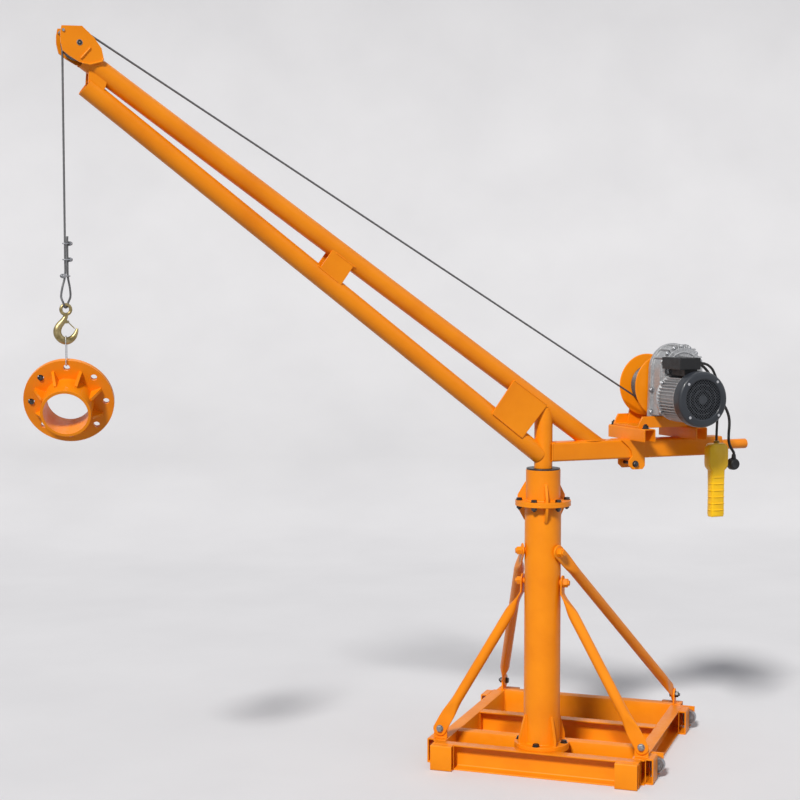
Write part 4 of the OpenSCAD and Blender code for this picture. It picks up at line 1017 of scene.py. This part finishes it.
# sheave and rollers
sheaveFacts = {"half": [(8.4, 10), (16, 10), (17, 9), (17, 5.5), (19, 5), (34, 5), (36, 5.6), (36.5, 9.4), (38, 10),
    (43.6, 10), (44.5, 9), (44.5, 5.2), (41.2, 3.4), (38.6, 2.2)], "bottom": 37.8}
half = sheaveFacts["half"]
groove = [(r, -z) for r, z in half] + [(sheaveFacts["bottom"], 0)] + half[::-1] + [(half[0][0], -half[0][1])]
addLathe(groove, place(sheaveCenter, near), 56)
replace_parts(meshPiece("turned_sheave", "sheave", "dark_steel", smooth=30), "tip_sheave")
rollerFacts = {"x": 360, "z": 40, "y": {"front": 26, "rear": 626}, "cap": (-5, 9.5, 2.4), "split": (-11, -2, 22, 1.3),
    "tread": [(6.5, 0), (11, 0), (11.6, 0.8), (11.6, 2.4), (18.6, 2.8), (19.4, 0.8), (20.2, 0), (23.8, 0), (25, 1.3),
    (25, 20.7), (23.8, 22), (20.2, 22), (19.4, 21.2), (18.6, 19.2), (11.6, 19.6), (11.6, 21.2), (11, 22), (6.5, 22),
    (6.5, 0)]}
for which, y in rollerFacts["y"].items():
    addLathe(rollerFacts["tread"], place(onBase(rollerFacts["x"], y, rollerFacts["z"]), onBase(*yAxis)), 44)
    obj = meshPiece(which + "_roller", which + "_roller", "zinc_steel", smooth=35)
    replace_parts(obj, which + "_wheel")
for y in rollerFacts["y"].values():
    lift, radius, height = rollerFacts["cap"]
    addDisc(place(onBase(rollerFacts["x"], y + lift, rollerFacts["z"]), onBase(*yAxis)), radius, height, 24)
    x, lift, length, radius = rollerFacts["split"]
    m = place(onBase(rollerFacts["x"] + x, y + lift, rollerFacts["z"]), onBase(*xAxis))
    addLathe([(0, 0), (radius, 0), (radius, length), (0, length)], m, 8)
meshPiece("roller_pins", "base", "zinc_steel")
print("stage: bolts and rollers")


# floor and light; these are in metres
def seenRays(tree):  # 1 for camera, glossy and transmission rays
    kinds = addNode(tree, "LightPath")
    value = kinds.outputs["Is Camera Ray"]
    for kind in ("Is Glossy Ray", "Is Transmission Ray"):
        larger = addNode(tree, "Math")
        larger.operation = "MAXIMUM"
        tree.links.new(value, larger.inputs[0])
        tree.links.new(kinds.outputs[kind], larger.inputs[1])
        value = larger.outputs["Value"]
    return value


floorFacts = {"bounce": (0.36, 0.36, 0.37, 1), "shown": ((0.3, 0.7), ((0.70, 0.70, 0.73), (0.74, 0.74, 0.77))),
    "rise": ((0.0, 0.4), ((1, 1, 1), (0.84, 0.84, 0.84))), "cloud": (1.4, 4.0, 0.5), "shader": {"Roughness": 0.8,
    "Specular IOR Level": 0.2}, "line": [(-30.0, 0.0), (4.0, 0.0)], "bend": 5.0, "top": 9.0, "half": 40}
ff = floorFacts
tree, shader = newMat("floor")
cloud = rampNode(tree, noiseNode(tree, *ff["cloud"]), *ff["shown"])
split = addNode(tree, "SeparateXYZ")
link(tree, addNode(tree, "TexCoord"), "Object", split, "Vector")
# the sweep is multiplied darker above 0.4 m, painted shade that keeps the backdrop darker than the floor
heightShade = addNode(tree, "MixRGB", {"Fac": 1.0})
heightShade.blend_type = "MULTIPLY"
link(tree, cloud, "Color", heightShade, "Color1")
link(tree, rampNode(tree, split, *ff["rise"], "Z"), "Color", heightShade, "Color2")
mix = addNode(tree, "MixRGB", {"Color1": ff["bounce"]})  # what is seen, and what the floor throws back
tree.links.new(seenRays(tree), mix.inputs["Fac"])
link(tree, heightShade, "Color", mix, "Color2")
link(tree, mix, "Color", shader, "Base Color")
setInputs(shader, ff["shader"])
far, bend = ff["line"][-1][0], ff["bend"]
line = ff["line"] + [(far + bend * math.sin(rad(a)), bend - bend * math.cos(rad(a))) for a in range(10, 91, 10)]
line.append((far + bend, ff["top"]))
m = turned(cameraFacts["turn"])
rows = [[bm.verts.new(m @ Vector((x, y, z))) for x in (-ff["half"], ff["half"])] for y, z in line]
for a, b in zip(rows, rows[1:]):
    bm.faces.new([a[0], a[1], b[1], b[0]])
floor = meshPiece("floor", None, mat="floor", smooth=60, unit=1)

lightFacts = {"key": {"from": (-0.51, -0.56, 0.65), "spread": 9.0, "power": 3.3, "color": (1.0, 0.98, 0.94)},
    "fill": {"from": (0.75, -0.52, 0.42), "spread": 50.0, "power": 0.35, "color": (0.93, 0.96, 1.0)},
    "back": {"from": (0.45, 0.72, 0.53), "spread": 50.0, "power": 0.7, "color": (1.0, 1.0, 1.0)}}
for name, facts in lightFacts.items():
    lamp = bpy.data.lights.new(name, "SUN")
    lamp.angle = rad(facts["spread"])
    lamp.energy = facts["power"]
    lamp.color = facts["color"]
    addObject(name, lamp).matrix_world = place(Vector(facts["from"]) * 6, facts["from"])
worldFacts = {"color": (0.93, 0.95, 1.0, 1), "light": 0.20, "shown": 0.66}
world = bpy.data.worlds.new("world")
bpy.context.scene.world = world
world.use_nodes = True
tree = world.node_tree
shine, backdrop = tree.nodes["Background"], addNode(tree, "Background")
setInputs(shine, {"Color": worldFacts["color"], "Strength": worldFacts["light"]})
setInputs(backdrop, {"Color": worldFacts["color"], "Strength": worldFacts["shown"]})
choose = addNode(tree, "MixShader")
tree.links.new(seenRays(tree), choose.inputs["Fac"])
tree.links.new(shine.outputs["Background"], choose.inputs[1])
tree.links.new(backdrop.outputs["Background"], choose.inputs[2])
tree.links.new(choose.outputs["Shader"], tree.nodes["World Output"].inputs["Surface"])
bpy.context.scene.view_settings.view_transform = "Standard"
print("stage: floor and light")
